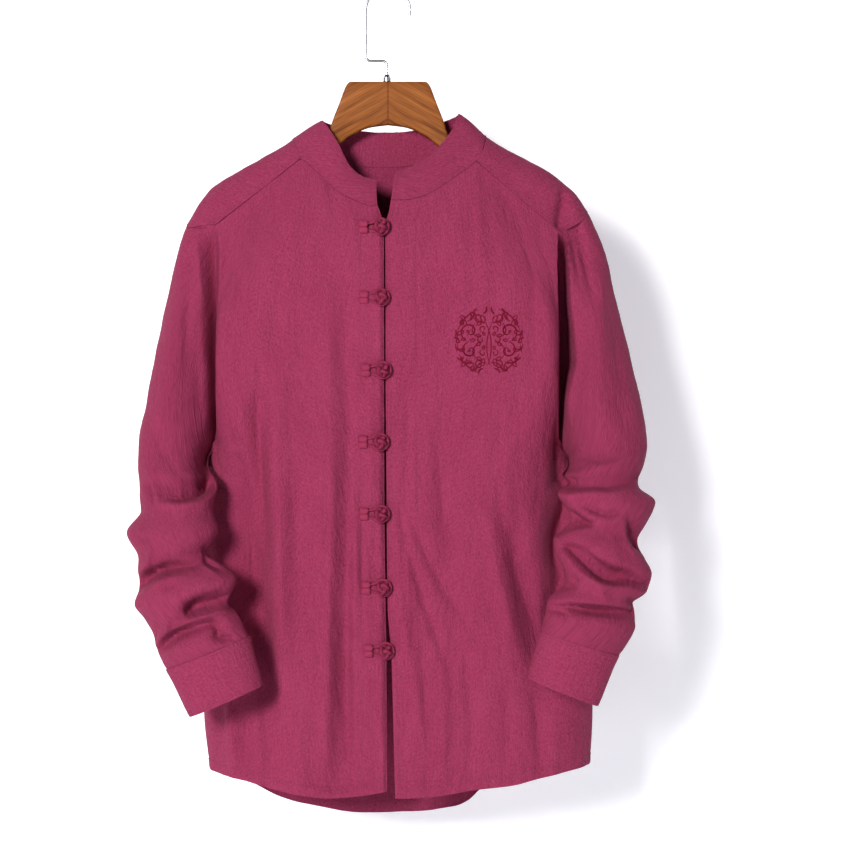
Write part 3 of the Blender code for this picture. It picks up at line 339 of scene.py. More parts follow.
# Cuffs: outer and inner end at the seam and at the open end, as in the rings above
CUFF_BULGE = 0.0012
CUFF_ENDS = {
    "right": ((0.2369, 0.091, -0.7533, 0.1472, 0.095, -0.7173, 0.0270),
              (0.2138, 0.093, -0.8030, 0.1327, 0.097, -0.7677, 0.0250)),
    "left": ((0.2494, 0.091, -0.7383, 0.1656, 0.095, -0.7121, 0.0270),
             (0.2291, 0.093, -0.7912, 0.1505, 0.097, -0.7595, 0.0250)),
}

# Knots from the collar down: x of the ball and height
Knot = namedtuple("Knot", "x height")
KNOTS = [
    Knot(-0.0075, -0.2696),
    Knot(-0.0069, -0.3474),
    Knot(-0.0050, -0.4274),
    Knot(-0.0079, -0.5062),
    Knot(-0.0069, -0.5851),
    Knot(-0.0046, -0.6660),
    Knot(-0.0019, -0.7349),
]
STEM_RADIUS = 0.0014
STEM_INSET = 0.0016
LOOP_RADIUS = 0.0096
LOOP_RISE = 0.0014

# The wooden hanger: top and bottom height, half thickness and squareness at each reach. Past
# ARM_START its top follows the shoulder line inside the cloth
HANGER = Table(("reach", "top", "bottom", "half_thickness", "square"), [
    (0.0000, -0.1036, -0.1518, 0.0075, 6.0),
    (0.0200, -0.1036, -0.1545, 0.0075, 6.0),
    (0.0420, -0.1036, -0.1640, 0.0075, 6.0),
    (0.0455, -0.1062, -0.1662, 0.0075, 6.0),
    (0.0545, -0.1280, -0.1745, 0.0075, 6.0),
    (0.0605, -0.1430, -0.1790, 0.0076, 5.0),
    (0.0706, -0.1690, -0.1870, 0.0080, 4.0),
    (0.0850, -0.1745, -0.1965, 0.0090, 3.0),
    (0.1000, -0.1765, -0.2060, 0.0105, 2.6),
    (0.1200, -0.1800, -0.2180, 0.0130, 2.4),
    (0.1600, -0.1990, -0.2400, 0.0160, 2.2),
    (0.1900, -0.2200, -0.2520, 0.0145, 2.2),
    (0.2050, -0.2350, -0.2560, 0.0110, 2.2),
])
ARM_START = 0.112
ARM_BLEND = 0.016
ARM_SEAT = 0.0053
HANGER_TIP = 0.2085
TIP_START = 0.203
TIP_CLOSE = 0.25
TIP_THICKNESS = 0.6

# The steel hook: wire radius, the arc's radius, and the cranked stem under it
WIRE = 0.0015
HOOK_RADIUS = 0.0247
HOOK_CENTRE = -0.0232
HOOK_TIP_ANGLE = -14.0
STEM_X = -0.0011
CRANK_HEIGHT = -0.0800
CRANK_BEND = 0.0052
STEM_FOOT = -0.0955
FERRULE_RADIUS = 0.0042
FERRULE_HEIGHT = 0.0072
FERRULE_SHOULDER = 0.6
FERRULE_NECK = 0.7

# Thickness of one layer of cloth, and of the collar and cuffs, which are doubled over a stiffening
ONE_LAYER = 0.0010
DOUBLED = 0.0019

# Grid steps of the cloth, and the closer stops beside every edge and seam
STEP = {"front": 0.0023, "back": 0.0040, "yoke": 0.0020, "sleeve": 0.0017, "small": 0.0020}
NEAR_EDGE = (0.0, 0.0007, 0.0014, 0.0022, 0.0032, 0.0044, 0.0058, 0.0074)
SLEEVE_COLUMNS = 216
SLEEVE_ANGLES = np.arange(SLEEVE_COLUMNS) * 360.0 / SLEEVE_COLUMNS - 180.0 + 360.0 / SLEEVE_COLUMNS

# How sharp the creases are, between 2 for soft folds and 1 for sharp ones, and how much deeper the
# body's are than their lines say
SLEEVE_SHARP = 1.5
BODY_SHARP = 1.7
FRONT_STRENGTH = 2.1
BACK_STRENGTH = 1.7

# The shares of a crease that go along the cloth's own normal and straight toward the viewer
ALONG_NORMAL = 0.4
TOWARD_VIEWER = 0.6

# Sewing: how far seams lap, how far each row of stitches lies from its edge, and one stitch's size
LAP = 0.0016
LAP_LIFT = 0.0008
SEAM_DIP = 0.0014
CUFF_DIP = 0.0008
ROLLED = 0.0030
ROLLED_WIDTH = 0.0055
TUCK = 0.0045
SEAM_DIP_WIDTH = 0.0034
TOPSTITCH = 0.0024
HEAD_STITCH = 0.0010
HEM_TURN = 0.0110
PLACKET = {"right": 0.0270, "left": 0.0310}
STITCH = 0.0024
STITCH_GAP = 0.0009
THREAD = 0.00034

# How much the doubled cloth of the placket and the hem stands up, how wide its step is, and how an
# open edge is rolled back
PLACKET_RISE = 0.00045
PLACKET_STEP = 0.0015
HEM_RISE = 0.00035
HEM_STEP = 0.0012
EDGE_ROLL = 0.0005
EDGE_WIDTH = 0.0020

# Over what widths the creases and ripples fade out: beside the body's seams and the yoke's ends, below
# a sleeve's head (ripples, then creases) and above its cuff
SEAM_FADE = 0.020
YOKE_FADE = 0.006
HEAD_FADE = 0.016
HEAD_CREASE_FADE = 0.004
WRIST_FADE = 0.010

# The stiff collar and cuffs: their own laps and rows of stitches
COLLAR_LAP = LAP * 0.7
STIFF_LIFT = LAP_LIFT * 1.3
COLLAR_STITCH = TOPSTITCH * 1.2
CUFF_STITCH = TOPSTITCH * 1.6

# Mean radius of a sleeve and of a cuff, by which their ripples close round them
SLEEVE_ROUND = 0.045
CUFF_ROUND = 0.040

# The first of each piece's seeds for its ripples and puckers
SEEDS = {"right_front": 11, "left_front": 31, "back": 51, "yoke": 71, "collar": 81,
         "right_sleeve": 91, "left_sleeve": 111, "cuff": 121}

# Creases as raised or sunk lines seen from the front: the path's x and height, the half width on the
# left and on the right of its way, and the height, which is negative for a trough
Line = namedtuple("Line", "path wide_left wide_right height")
FRONT_LINES = {
    "right": [
        Line(((-0.169, -0.510), (-0.155, -0.610), (-0.143, -0.695), (-0.132, -0.760), (-0.138, -0.830)),
             0.014, 0.030, -0.0136),
        Line(((-0.139, -0.430), (-0.141, -0.530), (-0.134, -0.650)), 0.010, 0.012, -0.0078),
        Line(((-0.064, -0.320), (-0.064, -0.430), (-0.060, -0.560), (-0.062, -0.660)), 0.008, 0.020, 0.0022),
        Line(((-0.046, -0.330), (-0.045, -0.400), (-0.042, -0.480), (-0.041, -0.570), (-0.044, -0.660)),
             0.008, 0.008, -0.0024),
        Line(((-0.044, -0.600), (-0.045, -0.700), (-0.044, -0.880)), 0.007, 0.014, -0.0042),
        Line(((-0.166, -0.750), (-0.171, -0.800), (-0.172, -0.850), (-0.170, -0.880)), 0.007, 0.010, 0.0036),
        Line(((-0.156, -0.800), (-0.157, -0.840), (-0.155, -0.885)), 0.005, 0.006, -0.0022),
        Line(((-0.144, -0.785), (-0.141, -0.830), (-0.142, -0.890)), 0.008, 0.006, 0.0026),
        Line(((-0.122, -0.420), (-0.124, -0.520), (-0.118, -0.660), (-0.116, -0.800)), 0.012, 0.016, 0.0038),
        Line(((-0.101, -0.560), (-0.099, -0.660), (-0.096, -0.780)), 0.010, 0.012, -0.0026),
        Line(((-0.062, -0.500), (-0.063, -0.610), (-0.064, -0.740), (-0.066, -0.880)), 0.011, 0.010, 0.0034),
        Line(((-0.041, -0.500), (-0.036, -0.620), (-0.038, -0.760), (-0.036, -0.870)), 0.006, 0.005, 0.0018),
        Line(((-0.029, -0.560), (-0.027, -0.660), (-0.030, -0.740)), 0.003, 0.004, -0.0014),
        Line(((-0.018, -0.420), (-0.019, -0.480), (-0.017, -0.560)), 0.003, 0.003, 0.0008),
        Line(((-0.160, -0.318), (-0.162, -0.340), (-0.166, -0.362)), 0.004, 0.006, -0.0018),
        Line(((-0.172, -0.275), (-0.180, -0.320), (-0.176, -0.380)), 0.009, 0.012, -0.0018),
        Line(((-0.095, -0.880), (-0.060, -0.893), (-0.030, -0.890)), 0.004, 0.008, 0.0010),
    ],
    "left": [
        Line(((0.010, -0.575), (0.030, -0.650), (0.052, -0.715), (0.070, -0.770)), 0.006, 0.004, -0.0018),
        Line(((0.016, -0.560), (0.036, -0.615), (0.062, -0.668), (0.092, -0.712)), 0.008, 0.005, -0.0016),
        Line(((0.010, -0.600), (0.016, -0.690), (0.032, -0.780), (0.044, -0.860)), 0.006, 0.006, 0.0016),
        Line(((0.022, -0.570), (0.023, -0.640), (0.024, -0.720)), 0.003, 0.003, 0.0009),
        Line(((0.134, -0.596), (0.146, -0.655), (0.160, -0.700), (0.172, -0.738)), 0.016, 0.010, -0.0040),
        Line(((0.106, -0.560), (0.124, -0.660), (0.150, -0.760)), 0.010, 0.012, 0.0024),
        Line(((0.052, -0.480), (0.058, -0.560), (0.074, -0.640)), 0.010, 0.012, -0.0016),
        Line(((0.086, -0.740), (0.092, -0.810), (0.090, -0.890)), 0.008, 0.006, -0.0018),
        Line(((0.061, -0.720), (0.064, -0.800), (0.059, -0.890)), 0.006, 0.008, 0.0016),
        Line(((0.130, -0.770), (0.132, -0.820), (0.128, -0.870)), 0.008, 0.008, -0.0016),
        Line(((0.160, -0.780), (0.166, -0.820), (0.168, -0.870)), 0.007, 0.007, -0.0020),
        Line(((0.024, -0.420), (0.022, -0.520), (0.020, -0.640)), 0.005, 0.006, -0.0012),
        Line(((0.158, -0.300), (0.162, -0.370), (0.160, -0.450)), 0.010, 0.012, -0.0020),
        Line(((0.190, -0.440), (0.197, -0.540), (0.192, -0.620), (0.181, -0.690), (0.172, -0.735),
              (0.176, -0.800)), 0.016, 0.030, -0.0055),
        Line(((0.200, -0.500), (0.200, -0.569), (0.192, -0.618), (0.197, -0.657), (0.187, -0.689),
              (0.176, -0.728)), 0.016, 0.013, -0.0095),
        Line(((0.068, -0.330), (0.071, -0.440), (0.066, -0.540)), 0.012, 0.012, -0.0012),
    ],
}
BACK_LINES = [
    Line(((-0.150, -0.300), (-0.148, -0.420), (-0.160, -0.560)), 0.012, 0.010, -0.0030),
    Line(((-0.082, -0.300), (-0.084, -0.480), (-0.078, -0.700), (-0.074, -0.900)), 0.010, 0.012, 0.0022),
    Line(((0.002, -0.290), (0.004, -0.500), (0.000, -0.740), (0.004, -0.910)), 0.009, 0.012, 0.0018),
    Line(((0.076, -0.300), (0.080, -0.500), (0.084, -0.700), (0.086, -0.880)), 0.011, 0.009, 0.0024),
    Line(((0.150, -0.300), (0.146, -0.430), (0.158, -0.570)), 0.012, 0.010, -0.0028),
    Line(((-0.172, -0.560), (-0.140, -0.610), (-0.106, -0.640)), 0.007, 0.010, -0.0022),
    Line(((0.176, -0.560), (0.150, -0.620), (0.118, -0.668)), 0.010, 0.007, -0.0022),
    Line(((-0.160, -0.700), (-0.150, -0.790), (-0.152, -0.870)), 0.009, 0.007, -0.0020),
    Line(((0.172, -0.690), (0.160, -0.780), (0.164, -0.860)), 0.008, 0.009, -0.0020),
]
SLEEVE_LINES = {
    "right": [
        Line(((-0.2140, -0.268), (-0.2090, -0.310), (-0.2030, -0.356)), 0.005, 0.004, 0.0030),
        Line(((-0.216, -0.290), (-0.222, -0.380), (-0.224, -0.470)), 0.013, 0.012, -0.0060),
        Line(((-0.210, -0.340), (-0.208, -0.420), (-0.203, -0.510)), 0.014, 0.026, -0.0090),
        Line(((-0.262, -0.480), (-0.245, -0.520), (-0.215, -0.548), (-0.190, -0.556)),
             0.016, 0.014, -0.0060),
        Line(((-0.264, -0.534), (-0.257, -0.552), (-0.249, -0.570)), 0.006, 0.003, 0.0045),
        Line(((-0.262, -0.548), (-0.256, -0.562), (-0.252, -0.574)), 0.003, 0.004, -0.0045),
        Line(((-0.242, -0.565), (-0.222, -0.567), (-0.204, -0.564), (-0.190, -0.557), (-0.160, -0.541)),
             0.012, 0.0035, -0.0170),
        Line(((-0.226, -0.562), (-0.204, -0.561), (-0.186, -0.554), (-0.156, -0.540)),
             0.026, 0.003, -0.0110),
        Line(((-0.208, -0.553), (-0.192, -0.551), (-0.176, -0.545)), 0.008, 0.004, -0.0090),
        Line(((-0.252, -0.571), (-0.230, -0.573), (-0.204, -0.570), (-0.186, -0.560), (-0.176, -0.553)),
             0.0026, 0.009, 0.0058),
        Line(((-0.269, -0.607), (-0.262, -0.612), (-0.256, -0.610)), 0.003, 0.004, -0.0040),
        Line(((-0.198, -0.618), (-0.192, -0.633), (-0.176, -0.643)), 0.004, 0.004, -0.0090),
        Line(((-0.203, -0.620), (-0.197, -0.637), (-0.184, -0.647)), 0.002, 0.004, 0.0032),
        Line(((-0.254, -0.620), (-0.256, -0.635), (-0.264, -0.646), (-0.275, -0.657)), 0.003, 0.008, 0.0058),
        Line(((-0.277, -0.670), (-0.264, -0.655), (-0.251, -0.645), (-0.231, -0.638), (-0.209, -0.636),
              (-0.190, -0.632)), 0.003, 0.009, -0.0150),
        Line(((-0.280, -0.663), (-0.266, -0.652), (-0.252, -0.645)), 0.003, 0.007, -0.0090),
        Line(((-0.279, -0.684), (-0.262, -0.668), (-0.243, -0.655), (-0.222, -0.648)), 0.007, 0.005, 0.0045),
        Line(((-0.242, -0.664), (-0.224, -0.657)), 0.004, 0.005, -0.0030),
        Line(((-0.217, -0.694), (-0.204, -0.684), (-0.188, -0.680), (-0.168, -0.672)),
             0.010, 0.0035, -0.0170),
        Line(((-0.216, -0.689), (-0.200, -0.681)), 0.007, 0.004, -0.0070),
        Line(((-0.213, -0.697), (-0.192, -0.692), (-0.168, -0.683)), 0.0025, 0.005, 0.0046),
        Line(((-0.264, -0.698), (-0.250, -0.699)), 0.003, 0.004, -0.0030),
        Line(((-0.240, -0.690), (-0.234, -0.702), (-0.242, -0.717), (-0.253, -0.733)), 0.003, 0.005, 0.0044),
        Line(((-0.246, -0.706), (-0.252, -0.726)), 0.003, 0.004, -0.0044),
        Line(((-0.256, -0.738), (-0.237, -0.718), (-0.224, -0.709), (-0.204, -0.701), (-0.188, -0.698),
              (-0.176, -0.700)), 0.003, 0.008, -0.0150),
        Line(((-0.188, -0.698), (-0.180, -0.706), (-0.180, -0.713), (-0.162, -0.717)),
             0.004, 0.005, -0.0110),
        Line(((-0.251, -0.730), (-0.231, -0.711), (-0.213, -0.702), (-0.193, -0.694), (-0.172, -0.684)),
             0.006, 0.0025, 0.0048),
    ],
    "left": [
        Line(((0.2055, -0.232), (0.2155, -0.290), (0.2266, -0.346)), 0.0045, 0.006, -0.0080),
        Line(((0.2000, -0.238), (0.2060, -0.290), (0.2130, -0.334)), 0.0040, 0.005, -0.0050),
        Line(((0.2354, -0.320), (0.2376, -0.350), (0.2387, -0.382)), 0.002, 0.003, 0.0018),
        Line(((0.234, -0.350), (0.236, -0.420), (0.226, -0.480)), 0.012, 0.012, 0.0030),
        Line(((0.246, -0.330), (0.256, -0.430), (0.262, -0.500)), 0.012, 0.010, -0.0044),
        Line(((0.200, -0.524), (0.236, -0.532), (0.290, -0.512)), 0.005, 0.010, 0.0040),
        Line(((0.182, -0.534), (0.196, -0.546), (0.208, -0.550)), 0.004, 0.004, -0.0070),
        Line(((0.192, -0.557), (0.221, -0.553), (0.248, -0.553), (0.280, -0.545)), 0.014, 0.004, -0.0090),
        Line(((0.184, -0.567), (0.218, -0.561), (0.245, -0.561), (0.280, -0.554)), 0.003, 0.009, 0.0050),
        Line(((0.208, -0.573), (0.232, -0.583), (0.240, -0.584), (0.256, -0.580)), 0.006, 0.0035, -0.0080),
        Line(((0.196, -0.581), (0.2125, -0.592), (0.224, -0.594)), 0.0035, 0.005, -0.0120),
        Line(((0.180, -0.610), (0.204, -0.602), (0.226, -0.597)), 0.003, 0.008, 0.0050),
        Line(((0.261, -0.590), (0.268, -0.612), (0.286, -0.630)), 0.008, 0.003, -0.0140),
        Line(((0.2560, -0.592), (0.2615, -0.618), (0.278, -0.637)), 0.002, 0.006, 0.0046),
        Line(((0.180, -0.622), (0.199, -0.619), (0.216, -0.626), (0.238, -0.645), (0.262, -0.649)),
             0.005, 0.006, -0.0070),
        Line(((0.188, -0.612), (0.208, -0.633), (0.234, -0.651), (0.262, -0.655), (0.294, -0.664)),
             0.013, 0.0035, -0.0170),
        Line(((0.186, -0.620), (0.205, -0.643), (0.232, -0.659), (0.259, -0.662), (0.290, -0.671)),
             0.0026, 0.008, 0.0050),
        Line(((0.200, -0.650), (0.204, -0.659), (0.190, -0.663)), 0.003, 0.003, -0.0050),
        Line(((0.222, -0.658), (0.232, -0.668), (0.236, -0.676)), 0.005, 0.004, 0.0028),
        Line(((0.176, -0.681), (0.205, -0.682), (0.232, -0.685), (0.254, -0.687), (0.274, -0.692)),
             0.003, 0.008, -0.0140),
        Line(((0.172, -0.681), (0.194, -0.677), (0.214, -0.678), (0.240, -0.681), (0.270, -0.688)),
             0.007, 0.0025, 0.0046),
        Line(((0.259, -0.674), (0.267, -0.682), (0.267, -0.692)), 0.003, 0.004, -0.0080),
        Line(((0.174, -0.686), (0.190, -0.689), (0.190, -0.697)), 0.003, 0.003, -0.0048),
    ],
}
BEHIND_LINES = {
    "right": [
        Line(((-0.205, -0.280), (-0.216, -0.380), (-0.222, -0.480)), 0.012, 0.012, -0.0040),
        Line(((-0.270, -0.520), (-0.240, -0.545), (-0.204, -0.548)), 0.012, 0.006, -0.0060),
        Line(((-0.274, -0.590), (-0.240, -0.600), (-0.196, -0.586)), 0.008, 0.006, -0.0044),
        Line(((-0.270, -0.640), (-0.236, -0.652), (-0.190, -0.640)), 0.006, 0.010, -0.0050),
        Line(((-0.262, -0.690), (-0.226, -0.700), (-0.180, -0.688)), 0.005, 0.007, -0.0040),
    ],
    "left": [
        Line(((0.206, -0.280), (0.216, -0.380), (0.224, -0.480)), 0.012, 0.012, -0.0040),
        Line(((0.204, -0.552), (0.240, -0.548), (0.276, -0.528)), 0.010, 0.006, -0.0056),
        Line(((0.198, -0.596), (0.236, -0.606), (0.280, -0.596)), 0.007, 0.006, -0.0048),
        Line(((0.192, -0.640), (0.232, -0.654), (0.280, -0.650)), 0.006, 0.009, -0.0052),
        Line(((0.186, -0.688), (0.224, -0.698), (0.264, -0.692)), 0.005, 0.007, -0.0040),
    ],
}
YOKE_LINES = [
    Line(((0.190, -0.286), (0.193, -0.256), (0.1975, -0.226)), 0.0065, 0.0060, -0.0085),
    Line(((-0.176, -0.222), (-0.190, -0.244), (-0.197, -0.268)), 0.005, 0.006, -0.0030),
    Line(((-0.186, -0.214), (-0.203, -0.240), (-0.208, -0.262)), 0.004, 0.004, -0.0018),
    Line(((0.192, -0.216), (0.200, -0.240), (0.203, -0.262)), 0.004, 0.006, -0.0024),
]

# The groove beside each armhole's front, where the sleeve sinks behind the body's edge: its depth and
# its width on the sleeve at each height, and how flat its bottom is and so how steep its far side.
# Behind, a shallower one of the same run
GROOVE = {
    "right": Table(("down", "depth", "width", "flat"), [
        (0.264, 0.0000, 0.010, 2.0),
        (0.280, 0.0100, 0.012, 2.0),
        (0.300, 0.0190, 0.013, 2.0),
        (0.345, 0.0230, 0.012, 2.0),
        (0.390, 0.0230, 0.009, 2.0),
        (0.430, 0.0210, 0.006, 2.0),
        (0.480, 0.0200, 0.006, 2.0),
        (0.530, 0.0200, 0.012, 2.0),
        (0.546, 0.0160, 0.012, 2.0),
        (0.562, 0.0000, 0.008, 2.0),
    ]),
    "left": Table(("down", "depth", "width", "flat"), [
        (0.274, 0.0000, 0.0065, 11.0),
        (0.292, 0.0240, 0.0070, 11.0),
        (0.306, 0.0320, 0.0085, 11.0),
        (0.350, 0.0400, 0.0105, 11.0),
        (0.385, 0.0440, 0.0140, 11.0),
        (0.418, 0.0450, 0.0165, 11.0),
        (0.436, 0.0400, 0.0120, 8.0),
        (0.463, 0.0320, 0.0075, 5.0),
        (0.490, 0.0240, 0.0070, 2.5),
        (0.520, 0.0160, 0.0090, 2.0),
        (0.540, 0.0080, 0.0110, 2.0),
        (0.560, 0.0000, 0.0100, 2.0),
    ]),
}
GROOVE_ON_BODY = 0.0040
GROOVE_BEHIND = 0.25

# How far the body's side is let out under each arm, sideways (reach) and to the back, and over what
# width of the front beside the side seam. The back is let out over SLACK_BEHIND
SLACK = {
    "right": Table(("down", "reach", "back", "width"), [
        (0.503, 0.0000, 0.0000, 0.014),
        (0.514, 0.0110, 0.0130, 0.014),
        (0.546, 0.0125, 0.0130, 0.014),
        (0.566, 0.0125, 0.0000, 0.045),
        (0.620, 0.0110, 0.0000, 0.045),
        (0.660, 0.0050, 0.0000, 0.045),
        (0.700, 0.0000, 0.0000, 0.045),
    ]),
    "left": Table(("down", "reach", "back", "width"), [
        (0.503, 0.0000, 0.0000, 0.014),
        (0.514, 0.0120, 0.0130, 0.014),
        (0.542, 0.0135, 0.0130, 0.014),
        (0.562, 0.0130, 0.0000, 0.045),
        (0.578, 0.0115, 0.0000, 0.045),
        (0.598, 0.0050, 0.0000, 0.045),
        (0.640, 0.0000, 0.0000, 0.045),
    ]),
}
SLACK_BEHIND = 0.045

# The stitched roundel on the left chest: its centre, and the unit of its strokes
ROUNDEL_CENTRE = (0.1116, -0.3955)
MM = 0.001

# The strip that the left front carries on under the right one: how far each of its rows lies past the
# edge and how far under it, at full width between two heights
UNDERLAP = ((0.0003, 0.0010), (0.0007, 0.0024), (0.0014, 0.0028), (0.0022, 0.0030))
UNDERLAP_TOP = (-0.250, -0.268)
UNDERLAP_FOOT = (-0.690, -0.740)

# The woven strand of a knot: its turns, its swings about the ball's equator, how far it goes over and
# under itself, and its radius. Each knot's pole leans up from the line of sight by its own degrees
KNOT_LEADS = 3
KNOT_BIGHTS = 4
KNOT_SWING = 58.0
KNOT_WEAVE = 0.0010
KNOT_STRAND = 0.0023
KNOT_STOPS = 240
BALL_RADIUS = 0.0090
KNOT_LEANS = (38, 62, 20, 48, 30, 70, 44)

# The loop round a knot, and its two flattened legs, which narrow to a neck beside the ball
RING_RADIUS = 0.0085
LEG_SPREAD = 0.0034
LEG_HALF = 0.0037
LEG_FLAT = 0.48
LEG_END = 0.0225
LEG_NECK = 0.0140

# The camera stands where the photograph was taken from, level
CAMERA = (0.0364, -2.6, -0.4827)
LENS = 99.37
SENSOR = 36.0

# The plain wall and floor, and how much each of them glows by itself
FLOOR = -1.35
WALL = 0.230
GLOW = {"backdrop": 0.40, "floor": 0.10}

# The cloth's weave and the cords' twists, in metres, and how much the slubs tell in the dye
WEAVE_PITCH = 0.00065
SLUBS = 1.5
TWIST_PITCH = {"cord": 0.0016, "sewing thread": 0.0009, "dark red thread": 0.0010}

# The darker colours of the cords and threads below are painted shade in the grooves between their twisted
# strands; the darker berry is also the darker tone of the cloth's uneven dye
DYES = {
    "berry": (0.262, 0.0270, 0.0770),
    "deep berry dye and groove shade": (0.150, 0.012, 0.036),
    "pale slub": (0.340, 0.060, 0.130),
    "dark red thread": (0.215, 0.004, 0.030),
    "red thread groove shade": (0.120, 0.004, 0.014),
    "cord": (0.400, 0.042, 0.118),
    "cord groove shade": (0.120, 0.004, 0.018),
    "sewing thread": (0.380, 0.066, 0.145),
    "light wood": (0.360, 0.115, 0.022),
    "dark wood": (0.125, 0.032, 0.005),
    "steel": (0.36, 0.36, 0.38),
}


def ridge(x):
    """Height of the shoulder line above this x."""
    reach = np.abs(x)
    return by_side(x, SHOULDER.read("right", reach), SHOULDER.read("left", reach))


def stand_out(drop, plane):
    """How far the cloth stands out from the middle plane, this far below the shoulder line."""
    rounded = np.clip(drop / ROUND_DROP, 0.0, 1.0)
    over = SHOULDER_ROUND * np.sqrt(np.maximum(1 - (1 - rounded) ** 2, 0.0))
    return over + (plane - SHOULDER_ROUND) * smooth(drop / SLOPE_DROP)


def fold_depth(folds, x, z):
    """The sum of the soft folds at this x and height: troughs are positive."""
    total = np.zeros(np.broadcast(x, z).shape)
    for fold in folds:
        share = (fold.top - z) / (fold.top - fold.bottom)
        middle = mix(fold.x_top, fold.x_bottom, np.clip(share, 0.0, 1.2))
        fade = smooth(share / FOLD_FADE) * (1 - smooth((share - 1 + FOLD_FADE / 2) / FOLD_FADE) * 0.6)
        total = total + fold.depth * fade * np.exp(-((x - middle) / fold.half_width) ** 2)
    return total


def section(reach_start, side_reach, corner, square, u, flat):
    """Across one level: x grows evenly over the flat share, then turns the corner to the seam.

    Gives x and the share of the plane's depth that is left there, from 1 to 0.
    """
    turn = np.clip((u - flat) / (1 - flat), 0.0, 1.0) * math.pi / 2
    straight = mix(reach_start, side_reach - corner, np.clip(u / flat, 0.0, 1.0))
    x = straight + corner * np.sin(turn) ** (2 / square)
    left = np.maximum(np.cos(turn), 0.0) ** (2 / square)
    return x, left


def opening_reach(side, z):
    """Signed toward the panel's own side, so the right front's edge can be past the middle."""
    return SIDES[side] * OPENING.read(side, -z)


def neck_angle(side, u):
    """Angle from the front middle of the neck ring to share u of a front panel's neck seam."""
    start = math.degrees(math.asin(opening_reach(side, NECK_FRONT) / NECK_WIDTH[side]))
    return mix(start, SHOULDER_SEAM_ANGLE, u)


def neck_place(side, angle):
    """x, and how far over the shoulder line: negative in front, the square root of the drop."""
    share = np.abs(np.sin(np.radians(angle)))
    x = SIDES[side] * NECK_WIDTH[side] * share
    front = np.asarray(angle) < 90
    drop = np.where(front, NECK_SEAM.read(side, share), NECK_SEAM.read("back", share))
    drop = np.maximum(drop, 0.0)
    over = np.where(front, -np.sqrt(drop), np.sqrt(drop))
    return x, over


def over_shoulder(x, over):
    """The point of the shoulder surface at this x, this far over the line."""
    drop = over ** 2
    z = ridge(x) - drop
    front = stand_out(drop, BODY.read("front", -z))
    back = stand_out(drop, BODY.read("back", -z))
    y = np.where(over < 0, -front, back)
    return places(x, y, z)


def shoulder_seam(side, share):
    """The yoke's front seam, from the neck to the armhole: x and height."""
    neck_x, neck_over = neck_place(side, SHOULDER_SEAM_ANGLE)
    neck_z = ridge(neck_x) - neck_over ** 2
    x = mix(neck_x, SIDES[side] * ARMHOLE_CORNER, share)
    z = mix(neck_z, ARMHOLE_FRONT[side], share)
    return x, z


def front_top(side, u):
    """The top edge of a front panel: neck seam, then the yoke's seam."""
    neck_share = NECK_COLUMNS / (NECK_COLUMNS + SHOULDER_COLUMNS)
    x_neck, over = neck_place(side, neck_angle(side, np.clip(u / neck_share, 0.0, 1.0)))
    z_neck = ridge(x_neck) - over ** 2
    x_seam, z_seam = shoulder_seam(side, np.clip((u - neck_share) / (1 - neck_share), 0.0, 1.0))
    on_neck = u < neck_share
    return np.where(on_neck, x_neck, x_seam), np.where(on_neck, z_neck, z_seam)


def level(top, hem, v):
    """Height at share v: the underarm's level is the same all round."""
    upper = mix(top, UNDERARM, np.clip(v / UNDERARM_SHARE, 0.0, 1.0))
    lower = mix(UNDERARM, hem, np.clip((v - UNDERARM_SHARE) / (1 - UNDERARM_SHARE), 0.0, 1.0))
    return np.where(v < UNDERARM_SHARE, upper, lower)


def body_depth(face, folds, x, z, turned):
    """How far the front or the back stands out, and turns in to the side seam as turned goes to 1."""
    out = stand_out(np.maximum(ridge(x) - z, 0.0), BODY.read(face, -z)) - fold_depth(folds, x, z)
    seam = np.minimum(BODY.read("seam_depth", -z), out)
    return out + (seam - out) * turned


def front_point(side, u, v):
    """A front panel: u from the opening to the armhole and side seam, v from the top edge to the hem."""
    sign = SIDES[side]

    def across(height):
        down = -height
        return section(opening_reach(side, height), BODY.read(side, down), BODY.read("corner", down),
                       BODY.read("square", down), u, FRONT_FLAT)

    x_top, z_top = front_top(side, u)
    hem_x, _ = across(-HEM_LEVEL)
    hem = FRONT_HEM.read(side, np.clip(hem_x, 0.0, None) / BODY.read(side, HEM_LEVEL))
    z = level(z_top, hem, v)
    settle = smooth(v / SETTLE_SHARE)
    x, left = across(z)
    x_start, _ = across(z_top)
    x = sign * x + (x_top - sign * x_start) * (1 - settle)
    out = body_depth("front", FRONT_FOLDS, x, z, (1 - left) * settle)
    return places(x, -out, z)


def yoke_side_share(u):
    """Share from the armhole to the neck on either shoulder, and the share round the back neck."""
    columns = 2 * SHOULDER_COLUMNS + BACK_NECK_COLUMNS
    place = u * columns
    mirrored = np.minimum(place, columns - place)
    shoulder = np.clip(mirrored / SHOULDER_COLUMNS, 0.0, 1.0)
    round_neck = np.clip((mirrored - SHOULDER_COLUMNS) / (BACK_NECK_COLUMNS / 2), 0.0, 1.0)
    return shoulder, round_neck


def back_seam_x(side, shoulder, round_neck):
    """x along the yoke's back seam, from the armhole to the middle."""
    reach = mix(ARMHOLE_CORNER, YOKE_NECK_REACH, shoulder)
    return SIDES[side] * np.where(shoulder < 1, reach, mix(YOKE_NECK_REACH, 0.0, round_neck))


def back_seam_z(side, x):
    """Height of the yoke's back seam, which falls toward the armholes."""
    return mix(BACK_YOKE_SEAM, ARMHOLE_BACK[side], (np.abs(x) / ARMHOLE_CORNER) ** 2)


